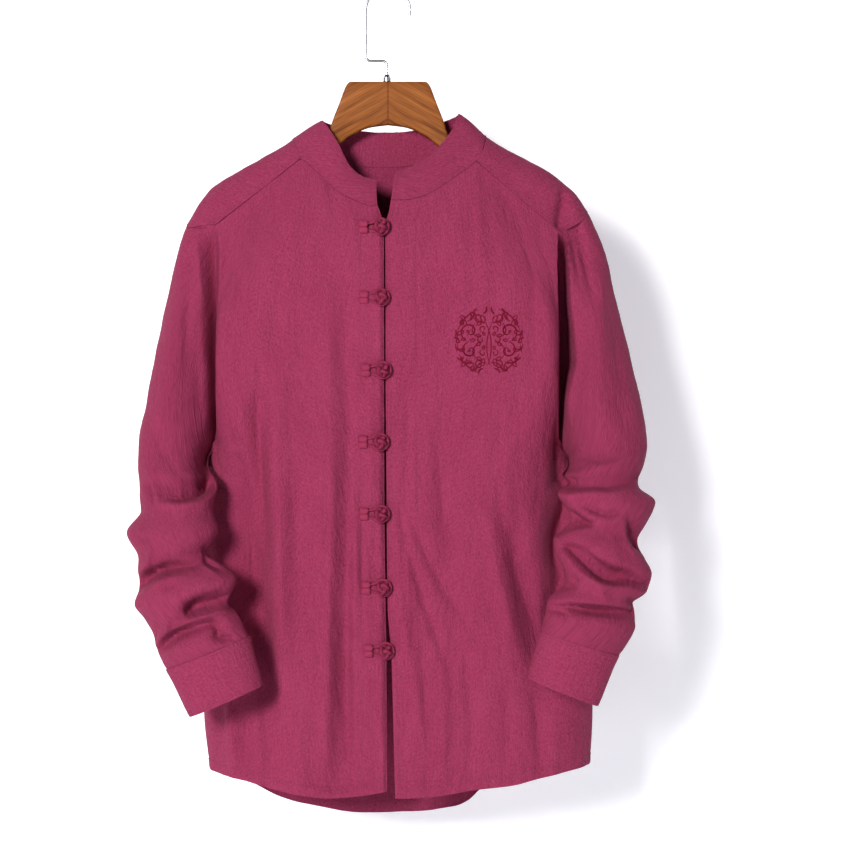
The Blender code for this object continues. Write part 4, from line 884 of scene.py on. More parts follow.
def yoke_half(side, u, v):
    """One half of the yoke: from its front edge, over the shoulder, to its back seam."""
    shoulder, round_neck = yoke_side_share(u)
    seam_x, seam_z = shoulder_seam(side, 1 - shoulder)
    seam_over = -np.sqrt(np.maximum(ridge(seam_x) - seam_z, 0.0))
    neck_x, neck_over = neck_place(side, mix(SHOULDER_SEAM_ANGLE, 180.0, round_neck))
    at_neck = shoulder >= 1
    x0 = np.where(at_neck, neck_x, seam_x)
    over0 = np.where(at_neck, neck_over, seam_over)
    x1 = back_seam_x(side, shoulder, round_neck)
    over1 = np.sqrt(ridge(x1) - back_seam_z(side, x1))
    reach_out = mix(SHOULDER_TIP[side], YOKE_NECK_BULGE, shoulder) * (1 - smooth(round_neck / 0.5))
    hump = 1 - np.abs(2 * v - 1) ** mix(3.4, 2.2, shoulder)
    x = mix(x0, x1, v) + SIDES[side] * reach_out * hump
    return over_shoulder(x, mix(over0, over1, v))


def yoke_point(u, v):
    """The yoke: u from the right armhole round the back neck to the left one, v from front to back."""
    right = yoke_half("right", u, v)
    left = yoke_half("left", u, v)
    return np.where((u < 0.5)[..., None], right, left)


def back_point(u, v):
    """The back: u from the right side to the left one, v from the yoke's seam to the hem."""
    shoulder, round_neck = yoke_side_share(u)
    on_right = u < 0.5
    x_top = np.where(on_right, back_seam_x("right", shoulder, round_neck),
                     back_seam_x("left", shoulder, round_neck))
    z_top = by_side(x_top, back_seam_z("right", x_top), back_seam_z("left", x_top))
    reach_share = np.abs(2 * u - 1)

    def across(height):
        down = -height
        side_reach = np.where(on_right, BODY.read("right", down), BODY.read("left", down))
        x, left = section(0.0, side_reach, BODY.read("corner", down), BODY.read("square", down),
                          reach_share, BACK_FLAT)
        return np.where(on_right, -x, x), left

    hem_x, _ = across(-HEM_LEVEL)
    z = level(z_top, BACK_HEM.read("height", hem_x), v)
    settle = smooth(v / SETTLE_SHARE)
    x, left = across(z)
    x_start, _ = across(z_top)
    x = x + (x_top - x_start) * (1 - settle)
    out = body_depth("back", BACK_FOLDS, x, z, (1 - left) * settle)
    return places(x, out, z)


def armhole_point(side, angle):
    """The armhole seam, from the shoulder's tip (0) by the front to the underarm (180) and behind."""
    sign = SIDES[side]
    angle = (np.asarray(angle, float) + 180.0) % 360.0 - 180.0
    share = np.clip((np.abs(angle) - ARMHOLE_TURN) / (180.0 - ARMHOLE_TURN), 0.0, 1.0)
    edge = np.zeros_like(angle) + (0.0 if sign < 0 else 1.0)
    over_top = yoke_point(edge, np.clip(0.5 - angle / (2 * ARMHOLE_TURN), 0.0, 1.0))
    in_front = front_point(side, np.ones_like(angle), UNDERARM_SHARE * share)
    behind = back_point(edge, UNDERARM_SHARE * share)
    point = np.where((angle > ARMHOLE_TURN)[..., None], in_front, over_top)
    return np.where((angle < -ARMHOLE_TURN)[..., None], behind, point)


def ring_point(side, ends, angle):
    """A point of a flattened ring between its outer and inner ends; 90 degrees is its front."""
    out_x, out_y, out_z, in_x, in_y, in_z, half = ends
    outer = places(SIDES[side] * out_x, -out_y, out_z)
    inner = places(SIDES[side] * in_x, -in_y, in_z)
    middle = (outer + inner) / 2
    arm = (outer - inner) / 2
    along = unit(arm)
    ahead = np.array([0.0, -1.0, 0.0])
    ahead = unit(ahead - along * (along @ ahead)[..., None])
    turn = np.radians(angle)[..., None]
    return middle + arm * np.cos(turn) + ahead * np.asarray(half)[..., None] * np.sin(turn), middle


def crease_depth(creases, x, z):
    """How deep the creases are here, by the nearest stretch of each bent line."""
    deepest = np.zeros(np.broadcast(x, z).shape)
    for crease in creases:
        nearest = np.full(deepest.shape, 1.0)
        end_fade = np.zeros(deepest.shape)
        for share in np.linspace(0.0, 1.0, CREASE_STOPS):
            start, middle, end = (1 - share) ** 2, 2 * share * (1 - share), share ** 2
            line_x = start * crease.x0 + middle * crease.x1 + end * crease.x2
            line_z = start * crease.z0 + middle * crease.z1 + end * crease.z2
            distance = np.hypot(x - line_x, z - line_z)
            fade = 0.35 + 0.65 * math.sin(math.pi * share)
            end_fade = np.where(distance < nearest, fade, end_fade)
            nearest = np.minimum(nearest, distance)
        deepest = deepest + crease.depth * end_fade * np.exp(-(nearest / crease.half_width) ** 2)
    return deepest


def sleeve_point(side, angle, ring):
    """A sleeve: it leaves the armhole seam and hangs through its rings to the cuff's seam."""
    rings = SLEEVE_RINGS[side]
    ends = [rings.read(name, ring) for name in RING_COLUMNS[1:]]
    point, middle = ring_point(side, ends, angle)
    start = [rings.read(name, 0.0) for name in RING_COLUMNS[1:]]
    plain, _ = ring_point(side, [value + np.zeros_like(ring) for value in start], angle)
    leaving = (1 - smooth(ring / ARMHOLE_FADE))[..., None]
    point = point + (armhole_point(side, angle) - plain) * leaving
    front = smooth(np.sin(np.radians(angle)) * 2)
    behind = smooth(-np.sin(np.radians(angle)) * 2)
    x, z = point[..., 0], point[..., 2]
    depth = crease_depth(SLEEVE_CREASES[side], x, z) * front
    depth = depth + crease_depth(SLEEVE_CREASES[side], x, z + CREASE_DROP_BEHIND) * behind
    depth = depth * smooth((ring - CREASES_FROM_RING) / 2.0) * (1 - smooth((ring - CREASES_TO_RING) / 0.8))
    return point + unit(middle - point) * depth[..., None]


def cuff_point(side, angle, share):
    """A cuff, from its seam on the sleeve to its open end."""
    start, end = CUFF_ENDS[side]
    ends = [mix(a, b, share) for a, b in zip(start, end)]
    ends[-1] = ends[-1] + CUFF_BULGE * np.sin(math.pi * np.clip(share, 0.0, 1.0))
    return ring_point(side, ends, angle)[0]


def collar_edges(side, u):
    """Angles from the front middle on the neck ring and on the top edge, for one half of the collar."""
    half_columns = NECK_COLUMNS + BACK_NECK_COLUMNS / 2
    front_share = np.clip(u * half_columns / NECK_COLUMNS, 0.0, 1.0)
    back_share = np.clip((u * half_columns - NECK_COLUMNS) / (BACK_NECK_COLUMNS / 2), 0.0, 1.0)
    behind = mix(SHOULDER_SEAM_ANGLE, 180.0, back_share)
    low = np.where(front_share < 1, neck_angle(side, front_share), behind)
    start = COLLAR_FRONT_ANGLE[side]
    high = np.where(front_share < 1, mix(start, SHOULDER_SEAM_ANGLE, front_share), behind)
    return low, high


def collar_half(side, u, v):
    """One half of the collar: u from the front end to the back, v from the neck seam up."""
    low, high = collar_edges(side, u)
    base = over_shoulder(*neck_place(side, low))
    share = np.abs(np.sin(np.radians(high)))
    ahead = np.cos(np.radians(high))
    x = SIDES[side] * COLLAR_WIDTH[side] * share
    y = np.where(ahead > 0, -COLLAR_DEPTH["front"], COLLAR_DEPTH["back"]) * np.abs(ahead) ** COLLAR_ROUNDNESS
    z = np.where(high < 90, COLLAR_TOP.read(side, share), COLLAR_TOP.read(side + "_back", share))
    top = places(x, y, z)
    lift = np.clip(v, 0.0, 1.0)[..., None]
    point = mix(base, top, v[..., None])
    away = places(SIDES[side] * share, -ahead, 0.0)
    return point + away * COLLAR_BULGE * 4 * lift * (1 - lift)


def collar_point(u, v):
    """The stand collar: u from its right front end round the back to the left one, v up."""
    right = collar_half("right", 2 * u, v)
    left = collar_half("left", 2 * (1 - u), v)
    return np.where((u < 0.5)[..., None], right, left)


def front_depth(x, z):
    """How far the fronts stand out beside the opening."""
    return float(stand_out(ridge(x) - z, BODY.read("front", -z)))


def hanger_station(x):
    """One section of the hanger: top, bottom, half thickness and squareness."""
    reach = abs(x)
    top, bottom, half, square = (float(HANGER.read(name, reach)) for name in
                                 ("top", "bottom", "half_thickness", "square"))
    seat = float(ridge(x)) - CLOTH - ARM_SEAT
    share = float(smooth((reach - ARM_START) / ARM_BLEND))
    return mix(top, seat, share), bottom, half, square


def arc(x, z, radius, angles):
    """Points of an arc about x and z in the hanger's plane."""
    turns = [math.radians(angle) for angle in angles]
    return [(x + radius * math.cos(a), 0.0, z + radius * math.sin(a)) for a in turns]


def hook_path():
    """Up the stem, left along the crank, up again, and round the hook to its tip."""
    left = -HOOK_RADIUS
    low, high = CRANK_HEIGHT - CRANK_BEND, CRANK_HEIGHT + CRANK_BEND
    return [(STEM_X, 0.0, STEM_FOOT), (STEM_X, 0.0, low),
            *arc(STEM_X - CRANK_BEND, low, CRANK_BEND, (30, 60, 90)),
            (left + CRANK_BEND, 0.0, CRANK_HEIGHT),
            *arc(left + CRANK_BEND, high, CRANK_BEND, (240, 210, 180)),
            (left, 0.0, mix(CRANK_HEIGHT, HOOK_CENTRE, 0.5)),
            *arc(0.0, HOOK_CENTRE, HOOK_RADIUS, (*range(180, -1, -15), HOOK_TIP_ANGLE))]


def path_runs(points):
    """How far along a line of points each of them lies."""
    return np.concatenate([[0.0], np.cumsum(np.linalg.norm(np.diff(points, axis=0), axis=1))])


def smooth_path(stops, step):
    """Points at even steps along a smooth curve through the stops, which may have any width."""
    stops = np.asarray(stops, float)
    padded = np.concatenate([[2 * stops[0] - stops[1]], stops, [2 * stops[-1] - stops[-2]]])
    fine = []
    for a, b, c, d in zip(padded, padded[1:], padded[2:], padded[3:]):
        t = np.linspace(0.0, 1.0, 24, endpoint=False)[:, None]
        fine.append(0.5 * (2 * b + (c - a) * t + (2 * a - 5 * b + 4 * c - d) * t ** 2
                           + (3 * b - a - 3 * c + d) * t ** 3))
    fine = np.concatenate(fine + [stops[-1:]])
    run = path_runs(fine)
    count = max(2, int(round(run[-1] / step)) + 1)
    at = np.linspace(0.0, run[-1], count)
    return np.stack([np.interp(at, run, fine[:, k]) for k in range(fine.shape[1])], axis=1)


def crease_heights(lines, x, z, sharp=2.0):
    """The sum of the raised and sunk lines at each x and height; each fades out at its two ends.

    sharp is 2 for soft rounded folds and nearer 1 for creased ones.
    """
    total = np.zeros(x.shape)
    for line in lines:
        path = smooth_path(line.path, 0.0015)
        ways = unit(np.gradient(path, axis=0))
        reach = 3.2 * max(line.wide_left, line.wide_right)
        beside = ((x > path[:, 0].min() - reach) & (x < path[:, 0].max() + reach)
                  & (z > path[:, 1].min() - reach) & (z < path[:, 1].max() + reach))
        across = x[beside][:, None] - path[:, 0]
        above = z[beside][:, None] - path[:, 1]
        nearest = (across ** 2 + above ** 2).argmin(axis=1)
        each = np.arange(len(nearest))
        across, above, way = across[each, nearest], above[each, nearest], ways[nearest]
        turn = way[:, 0] * above - way[:, 1] * across
        ahead = way[:, 0] * across + way[:, 1] * above
        last = len(path) - 1
        past = np.where(nearest == last, np.maximum(ahead, 0.0), 0.0)
        past = np.where(nearest == 0, np.minimum(ahead, 0.0), past)
        width = np.where(turn > 0, line.wide_left, line.wide_right)
        fade = np.sin(math.pi * np.clip(nearest / last, 0.02, 0.98)) ** 0.55
        total[beside] += line.height * fade * np.exp(-(np.hypot(turn, past) / width) ** sharp)
    return total


def ripple(seed, a, b, pitch_a, pitch_b):
    """Even random swells between -1 and 1, about one to each pitch."""
    cells = 64
    swells = np.random.default_rng(seed).uniform(-1.0, 1.0, (cells, cells))
    a = a / pitch_a
    b = b / pitch_b
    i = np.floor(a).astype(int)
    j = np.floor(b).astype(int)
    s = smooth(a - i)
    t = smooth(b - j)
    this_row = mix(swells[i % cells, j % cells], swells[(i + 1) % cells, j % cells], s)
    next_row = mix(swells[i % cells, (j + 1) % cells], swells[(i + 1) % cells, (j + 1) % cells], s)
    return mix(this_row, next_row, t)


def edge_stops(length, step):
    """Shares along a piece of cloth, closer together beside its edges, with an even count of spaces."""
    first = list(NEAR_EDGE)
    last = [length - distance for distance in reversed(NEAR_EDGE)]
    spaces = int(round((last[0] - first[-1]) / step))
    if (len(first) + len(last) + spaces) % 2:
        spaces += 1
    middle = list(np.linspace(first[-1], last[0], spaces + 1)[1:-1])
    return np.array(first + middle + last) / length


def runs(points, axis):
    """How far along the cloth each point of the grid lies from the first edge of that axis."""
    steps = np.linalg.norm(np.diff(points, axis=axis), axis=-1)
    pad = [(0, 0), (0, 0)]
    pad[axis] = (1, 0)
    return np.cumsum(np.pad(steps, pad), axis=axis)


def grid_normals(points, closed, outward):
    """The face's directions at every point; outward is 1 or -1, for the way in which the grid runs."""
    if closed:
        along = np.roll(points, -1, axis=0) - np.roll(points, 1, axis=0)
    else:
        along = np.gradient(points, axis=0)
    down = np.gradient(points, axis=1)
    return unit(np.cross(along, down) * outward)


class Cloth:
    """One cut piece as a grid of points on its outer face, with its normals and its runs in metres."""

    def __init__(self, points, outward, closed=False):
        self.outward = outward
        self.closed = closed
        self.place(points)
        around = np.concatenate([points, points[:1]]) if closed else points
        self.across = runs(around, 0)[:len(points)]
        self.around = runs(around, 0)[-1]
        self.along = runs(points, 1)

    def place(self, points):
        """Puts the face's points here, and works out its directions again."""
        self.points = points
        self.normals = grid_normals(points, self.closed, self.outward)

    def lift(self, height):
        """Moves every point out of the face by its own height."""
        self.place(self.points + self.normals * height[..., None])

    def crease(self, height, creases):
        """Lifts the cloth, and moves its creases partly out of the face and partly toward the viewer."""
        self.lift(height + creases * ALONG_NORMAL)
        self.place(self.points + creases[..., None] * np.array([0.0, -TOWARD_VIEWER, 0.0]))

    def edge_run(self, edge):
        """How far each point lies from this edge."""
        if edge == "u0":
            return self.across
        if edge == "u1":
            return self.across[-1:] - self.across
        if edge == "v0":
            return self.along
        return self.along[:, -1:] - self.along

    def row_beside(self, edge, distance):
        """Points and normals of a line at an even distance from an edge."""
        run = self.edge_run(edge)
        points, normals = self.points, self.normals
        if edge in ("u0", "u1"):
            run, points, normals = run.T, points.swapaxes(0, 1), normals.swapaxes(0, 1)
        if edge in ("u1", "v1"):
            run, points, normals = run[:, ::-1], points[:, ::-1], normals[:, ::-1]
        line = []
        for stops, place, normal in zip(run, points, normals):
            both = np.concatenate([place, normal], axis=1)
            line.append([np.interp(distance, stops, both[:, k]) for k in range(6)])
        line = np.array(line)
        if self.closed:
            line = np.concatenate([line, line[:1]])
        return line[:, :3], line[:, 3:]

    def at(self, x, z):
        """The points and normals of the face at each x and height."""
        x = np.atleast_1d(x)
        z = np.atleast_1d(z)
        points = self.points.reshape(-1, 3)
        normals = self.normals.reshape(-1, 3)
        found = []
        for px, pz in zip(x, z):
            found.append(((points[:, 0] - px) ** 2 + (points[:, 2] - pz) ** 2).argmin())
        place = points[found]
        normal = normals[found]
        slope = (normal[:, 0] * (x - place[:, 0]) + normal[:, 2] * (z - place[:, 2])) / normal[:, 1]
        return np.stack([x, place[:, 1] - slope, z], axis=1), normal


def quads(columns, rows):
    """The four corners of every face of a grid whose places are counted down each column in turn."""
    i, j = np.meshgrid(np.arange(columns - 1), np.arange(rows - 1), indexing="ij")
    place = i * rows + j
    return np.stack([place, place + rows, place + rows + 1, place + 1], axis=-1).reshape(-1, 4)


def wrapped(wide, columns, long, rows):
    """For each place of a grid that goes on past its last column or row, the point that it has."""
    i, j = np.meshgrid(np.arange(wide) % columns, np.arange(long) % rows, indexing="ij")
    return (i * rows + j).ravel()


class Work:
    """Collects patches of points and faces, and joins them in one mesh with their lay in metres."""

    def __init__(self):
        self.points = []
        self.faces = []
        self.lays = []
        self.count = 0

    def add(self, points, faces, corners, lay):
        """faces index the points, and corners index the lay, face by face."""
        for real, place in zip(faces, corners):
            self.faces += (real + self.count).tolist()
            self.lays.append(lay[place.ravel()])
        self.points.append(points)
        self.count += len(points)

    def add_rod(self, grid, closed=False):
        """A grid of points, its first axis round a rod, whose two ends are capped, or meet if closed."""
        columns, rows = grid.shape[:2]
        wide = columns + 1
        long = rows + 1 if closed else rows
        corners = [quads(wide, long)]
        if not closed:
            last = np.arange(columns)[None] * long + long - 1
            first = last[:, ::-1] - long + 1
            corners += [first, last]
        real = wrapped(wide, columns, long, rows)
        full = grid.reshape(-1, 3)[real].reshape(wide, long, 3)
        lay = np.stack([runs(full, 0), runs(full, 1)], axis=-1).reshape(-1, 2)
        self.add(grid.reshape(-1, 3), [real[corner] for corner in corners], corners, lay)

    def make(self, name, material):
        """The mesh as an object that rides on the part's one body."""
        mesh = bpy.data.meshes.new(name)
        mesh.from_pydata(np.concatenate(self.points).tolist(), [], self.faces)
        lay = mesh.uv_layers.new(name="lay")
        lay.uv.foreach_set("vector", np.concatenate(self.lays).astype(np.float32).ravel())
        mesh.shade_smooth()
        mesh.set_sharp_from_angle(angle=math.radians(52))
        mesh.materials.append(MATERIALS[material])
        piece = bpy.data.objects.new(name, mesh)
        bpy.context.scene.collection.objects.link(piece)
        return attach(piece, "root")


def stand_for(node, work, name, material):
    """Makes the piece that stands for a node of the CAD, and hides that node."""
    piece = work.make(name, material)
    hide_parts(node)
    return piece


def rim(outer, inner):
    """Five-cornered faces along an edge of a wall: two spaces of its outer face to one of the inner."""
    return np.stack([outer[:-2:2], outer[1:-1:2], outer[2::2], inner[1:], inner[:-1]], axis=-1)


def shell(work, cloth, thickness):
    """A closed wall: the outer face at full count, and the inner one behind it at half the count."""
    columns, rows = cloth.points.shape[:2]
    wide = columns + 1 if cloth.closed else columns
    inner = cloth.points[::2, ::2] - cloth.normals[::2, ::2] * thickness
    inner_rows = inner.shape[1]
    inner_wide = (wide + 1) // 2
    outer_at = np.arange(wide * rows).reshape(wide, rows)
    inner_at = wide * rows + np.arange(inner_wide * inner_rows).reshape(inner_wide, inner_rows)
    rims = [rim(outer_at[:, 0], inner_at[:, 0])[:, ::-1], rim(outer_at[:, -1], inner_at[:, -1])]
    if not cloth.closed:
        rims += [rim(outer_at[0], inner_at[0]), rim(outer_at[-1], inner_at[-1])[:, ::-1]]
    inner_faces = wide * rows + quads(inner_wide, inner_rows)[:, ::-1]
    corners = [quads(wide, rows), inner_faces, np.concatenate(rims)]
    if cloth.outward < 0:
        corners = [face[:, ::-1] for face in corners]
    inner_real = columns * rows + wrapped(inner_wide, inner.shape[0], inner_rows, inner_rows)
    real = np.concatenate([wrapped(wide, columns, rows, rows), inner_real])
    across = np.concatenate([cloth.across, cloth.around[None]]) if cloth.closed else cloth.across
    across = across - across.mean(axis=0, keepdims=True)
    along = np.concatenate([cloth.along, cloth.along[:1]]) if cloth.closed else cloth.along
    lay = np.stack([across, along], axis=-1)
    lay = np.concatenate([lay.reshape(-1, 2), lay[::2, ::2].reshape(-1, 2)])
    points = np.concatenate([cloth.points.reshape(-1, 3), inner.reshape(-1, 3)])
    work.add(points, [real[face] for face in corners], corners, lay)


def rod(path, ups, radius, sides, flat=1.0, closed=False):
    """Rings of points round a path; ups are the directions that each ring's height keeps to."""
    if closed:
        ways = np.roll(path, -1, axis=0) - np.roll(path, 1, axis=0)
    else:
        ways = np.gradient(path, axis=0)
    ways = unit(ways)
    ups = np.broadcast_to(ups, path.shape)
    ups = unit(ups - ways * (ups * ways).sum(axis=1, keepdims=True))
    beside = np.cross(ways, ups)
    turn = 2 * math.pi * np.arange(sides)[:, None, None] / sides
    radius = np.broadcast_to(radius, len(path))[:, None]
    flat = np.broadcast_to(flat, len(path))[:, None]
    return path + radius * (np.cos(turn) * beside - flat * np.sin(turn) * ups)


def sew(work, line, normals):
    """A row of stitches: each dips into the cloth at its ends and stands proud between."""
    run = path_runs(line)
    count = int(run[-1] / (STITCH + STITCH_GAP))
    if count < 1:
        return
    shares = np.array([0.0, 0.18, 0.5, 0.82, 1.0])
    rise = np.array([-0.9, 0.35, 0.75, 0.35, -0.9]) * THREAD
    thick = np.array([0.45, 0.95, 1.0, 0.95, 0.45]) * THREAD
    start = (np.arange(count) + 0.5) * run[-1] / count - STITCH / 2
    at = start[:, None] + shares * STITCH
    path = np.stack([np.interp(at, run, line[:, k]) for k in range(3)], axis=-1)
    up = unit(np.stack([np.interp(at, run, normals[:, k]) for k in range(3)], axis=-1))
    path = path + up * rise[:, None]
    way = path[:, -1:] - path[:, :1]
    beside = unit(np.cross(np.broadcast_to(way, up.shape), up))
    sides = 5
    rows = len(shares)
    turn = 2 * math.pi * np.arange(sides)[:, None, None, None] / sides
    grid = path + thick[:, None] * (np.cos(turn) * beside - np.sin(turn) * up)
    grid = grid.transpose(1, 0, 2, 3)
    each = (np.arange(count) * sides * rows)[:, None, None]
    faces = (each + wrapped(sides + 1, sides, rows, rows)[quads(sides + 1, rows)]).reshape(-1, 4)
    ends = np.arange(sides) * rows
    caps = np.concatenate([each[:, 0] + ends[None, ::-1], each[:, 0] + (ends + rows - 1)[None]])
    points = grid.reshape(-1, 3)
    lay = np.stack([np.tile(np.arange(sides), (count, rows, 1)).swapaxes(1, 2).ravel() * THREAD,
                    np.broadcast_to(at[:, None], (count, sides, rows)).ravel()], axis=-1)
    work.add(points, [faces, caps], [faces, caps], lay)


def even_stops(surface, fixed, axis, step, low=0.0):
    """Stops along one axis of a surface that lie at even distances on the cloth, closer at its edges.

    They are measured on the line where the other axis has the fixed value, from low to 1.
    """
    dense = np.linspace(low, 1.0, 801)
    still = np.full_like(dense, fixed)
    points = surface(dense, still) if axis == 0 else surface(still, dense)
    run = path_runs(points)
    return np.interp(edge_stops(run[-1], step) * run[-1], run, dense)


def extend(points, edge, reach):
    """Two more rows past the top or the bottom edge, going on the same way."""
    grid = points if edge == "v0" else points[:, ::-1]
    way = unit(grid[:, :1] - grid[:, 1:2])
    more = [grid[:, :1] + way * reach * share for share in (1.0, 0.5)]
    grid = np.concatenate(more + [grid], axis=1)
    return grid if edge == "v0" else grid[:, ::-1]


def near(run, reach):
    """1 beside an edge, fading to 0 at this distance."""
    return 1 - smooth(run / reach)


def soft_edge(cloth, edges):
    """Rolls the named open edges back a little, as a turned and pressed edge has it."""
    for edge in edges:
        cloth.lift(-EDGE_ROLL * near(cloth.edge_run(edge), EDGE_WIDTH))


def cloth_ripple(seed, across, along, strength):
    """Streaks down the cloth, broad slack swells and fine crinkles, in metres."""
    streaks = ripple(seed, across, along, 0.012, 0.080) * 0.00095
    swells = ripple(seed + 1, across, along, 0.038, 0.110) * 0.0023
    fine = ripple(seed + 2, across + 0.2 * along, along, 0.0056, 0.0340) * 0.00036
    fine = fine + ripple(seed + 3, across, along + 0.4 * across, 0.0085, 0.0075) * 0.00016
    return (streaks + swells + fine) * strength


def pucker(run, distance, along, seed):
    """The small gathers that a row of stitches pulls in beside itself."""
    beside = np.exp(-((run - distance) / 0.0035) ** 2)
    return beside * (ripple(seed, along, run * 0, 0.0042, 1.0) * 0.00032 - 0.00030)


def with_underlap(cloth):
    """The left front with the strip that goes on under the right front's edge."""
    edge = cloth.points[:1]
    down = edge[..., 2]
    wide = smooth((UNDERLAP_TOP[0] - down) / (UNDERLAP_TOP[0] - UNDERLAP_TOP[1]))
    wide = wide * smooth((down - UNDERLAP_FOOT[1]) / (UNDERLAP_FOOT[0] - UNDERLAP_FOOT[1]))
    wide = mix(0.12, 1.0, wide)[..., None]
    rows = []
    for past, under in reversed(UNDERLAP):
        inward = wide * past * np.array([-1.0, 0.0, 0.0])
        rows.append(edge + inward + mix(0.5, 1.0, wide) * under * np.array([0.0, 1.0, 0.0]))
    return Cloth(np.concatenate(rows + [cloth.points]), cloth.outward)


def armhole_groove(cloth, side, down, run, width, ahead):
    """Sinks the cloth beside the armhole by the groove's depth at each height: ahead is 1 in front."""
    depth = GROOVE[side].read_inside("depth", down)
    flat = GROOVE[side].read_inside("flat", down)
    sink = depth * np.exp(-(run / width) ** flat) * ahead
    cloth.place(cloth.points + sink[..., None] * np.array([0.0, 1.0, 0.0]))


def let_out(cloth, side, run, width=None):
    """Lets the body's side stand further out under the arm, where the sleeve hangs in front of it."""
    slack = SLACK[side]
    down = -cloth.points[..., 2]
    share = near(run, width or slack.read_inside("width", down))
    out = SIDES[side] * slack.read_inside("reach", down) * share
    back = slack.read_inside("back", down) * share
    cloth.place(cloth.points + places(out, back, 0.0))


def make_front(side, rows):
    """A front panel with its turned placket and hem; the left one goes on under the right one."""
    outward = -SIDES[side]
    columns = even_stops(lambda u, v: front_point(side, u, v), 0.6, 0, STEP["front"])
    u, v = np.meshgrid(columns, rows, indexing="ij")
    points = front_point(side, u, v)
    cloth = Cloth(points, outward)
    x, z = cloth.points[..., 0], cloth.points[..., 2]
    from_side = cloth.edge_run("u1")
    fade = smooth(from_side / SEAM_FADE)
    seed = SEEDS[side + "_front"]
    creases = crease_heights(FRONT_LINES[side], x, z, BODY_SHARP) * FRONT_STRENGTH * fade
    opening = cloth.across
    hem = cloth.edge_run("v1")
    placket = PLACKET[side]
    ripples = cloth_ripple(seed, cloth.across, cloth.along, 1.0) * smooth(cloth.along / SEAM_FADE) * fade
    height = (ripples + PLACKET_RISE * near(opening - placket, PLACKET_STEP)
              + HEM_RISE * near(hem - HEM_TURN, HEM_STEP)
              + pucker(opening, placket, cloth.along, seed + 5)
              + pucker(hem, HEM_TURN, cloth.across, seed + 6)
              + pucker(opening, TOPSTITCH, cloth.along, seed + 7)
              - SEAM_DIP * near(cloth.along, SEAM_DIP_WIDTH))
    if side == "right":
        height = height - ROLLED * near(opening, ROLLED_WIDTH) * smooth(cloth.along / 0.030)
    cloth.crease(height, creases)
    armhole_groove(cloth, side, -z, from_side, GROOVE_ON_BODY, 1.0)
    let_out(cloth, side, from_side)
    soft_edge(cloth, ("u0", "v1"))
    if side == "left":
        cloth = with_underlap(cloth)
    strip = cloth.across[len(UNDERLAP)].max() if side == "left" else 0.0
    finish_sheet(side + "_front", cloth, ONE_LAYER, [
        ("u0", strip + TOPSTITCH), ("u0", strip + placket), ("v1", HEM_TURN)])
    return cloth


def make_back(rows):
    """The back, its top edge tucked under the yoke."""
    columns = even_stops(back_point, 0.6, 0, STEP["back"])
    u, v = np.meshgrid(columns, rows, indexing="ij")
    cloth = Cloth(extend(back_point(u, v), "v0", TUCK), 1)
    x, z = cloth.points[..., 0], cloth.points[..., 2]
    fade = smooth(cloth.across / SEAM_FADE) * smooth(cloth.edge_run("u1") / SEAM_FADE)
    height = crease_heights(BACK_LINES, x, z, BODY_SHARP) * BACK_STRENGTH
    ripples = cloth_ripple(SEEDS["back"], cloth.across, cloth.along, 1.0)
    height = height + ripples * smooth(cloth.along / SEAM_FADE)
    hem = cloth.edge_run("v1")
    cloth.lift(height * fade + HEM_RISE * near(hem - HEM_TURN, HEM_STEP)
               + pucker(hem, HEM_TURN, cloth.across, SEEDS["back"] + 6)
               - SEAM_DIP * near(cloth.along - TUCK, SEAM_DIP_WIDTH))
    for side, edge in (("right", "u0"), ("left", "u1")):
        run = cloth.edge_run(edge)
        armhole_groove(cloth, side, -z, run, GROOVE_ON_BODY, -GROOVE_BEHIND)
        let_out(cloth, side, run, SLACK_BEHIND)
    soft_edge(cloth, ("v1",))
    finish_sheet("back", cloth, ONE_LAYER, [("v1", HEM_TURN)])


def make_yoke():
    """The yoke, which laps over the fronts and the back."""
    columns = even_stops(yoke_point, 1.0, 0, STEP["yoke"])
    stops = even_stops(yoke_point, 0.06, 1, STEP["yoke"])
    u, v = np.meshgrid(columns, stops, indexing="ij")
    points = yoke_point(u, v)
    for edge in ("v0", "v1"):
        points = extend(points, edge, LAP)
    cloth = Cloth(points, 1)
    x, z = cloth.points[..., 0], cloth.points[..., 2]
    before = cloth.points[..., 1] < 0
    fade = smooth(cloth.across / YOKE_FADE) * smooth(cloth.edge_run("u1") / YOKE_FADE)
    height = crease_heights(YOKE_LINES, x, z) * (0.35 + 0.65 * before)
    height = height + cloth_ripple(SEEDS["yoke"], cloth.across, cloth.along, 0.5)
    height = height * fade
    for edge in ("v0", "v1"):
        run = cloth.edge_run(edge)
        height = height + LAP_LIFT * near(run - LAP, 0.012)
        height = height + pucker(run, LAP + TOPSTITCH, cloth.across, SEEDS["yoke"] + 6)
    cloth.lift(height)
    finish_sheet("yoke", cloth, ONE_LAYER, [
        ("v0", LAP + TOPSTITCH), ("v1", LAP + TOPSTITCH)])


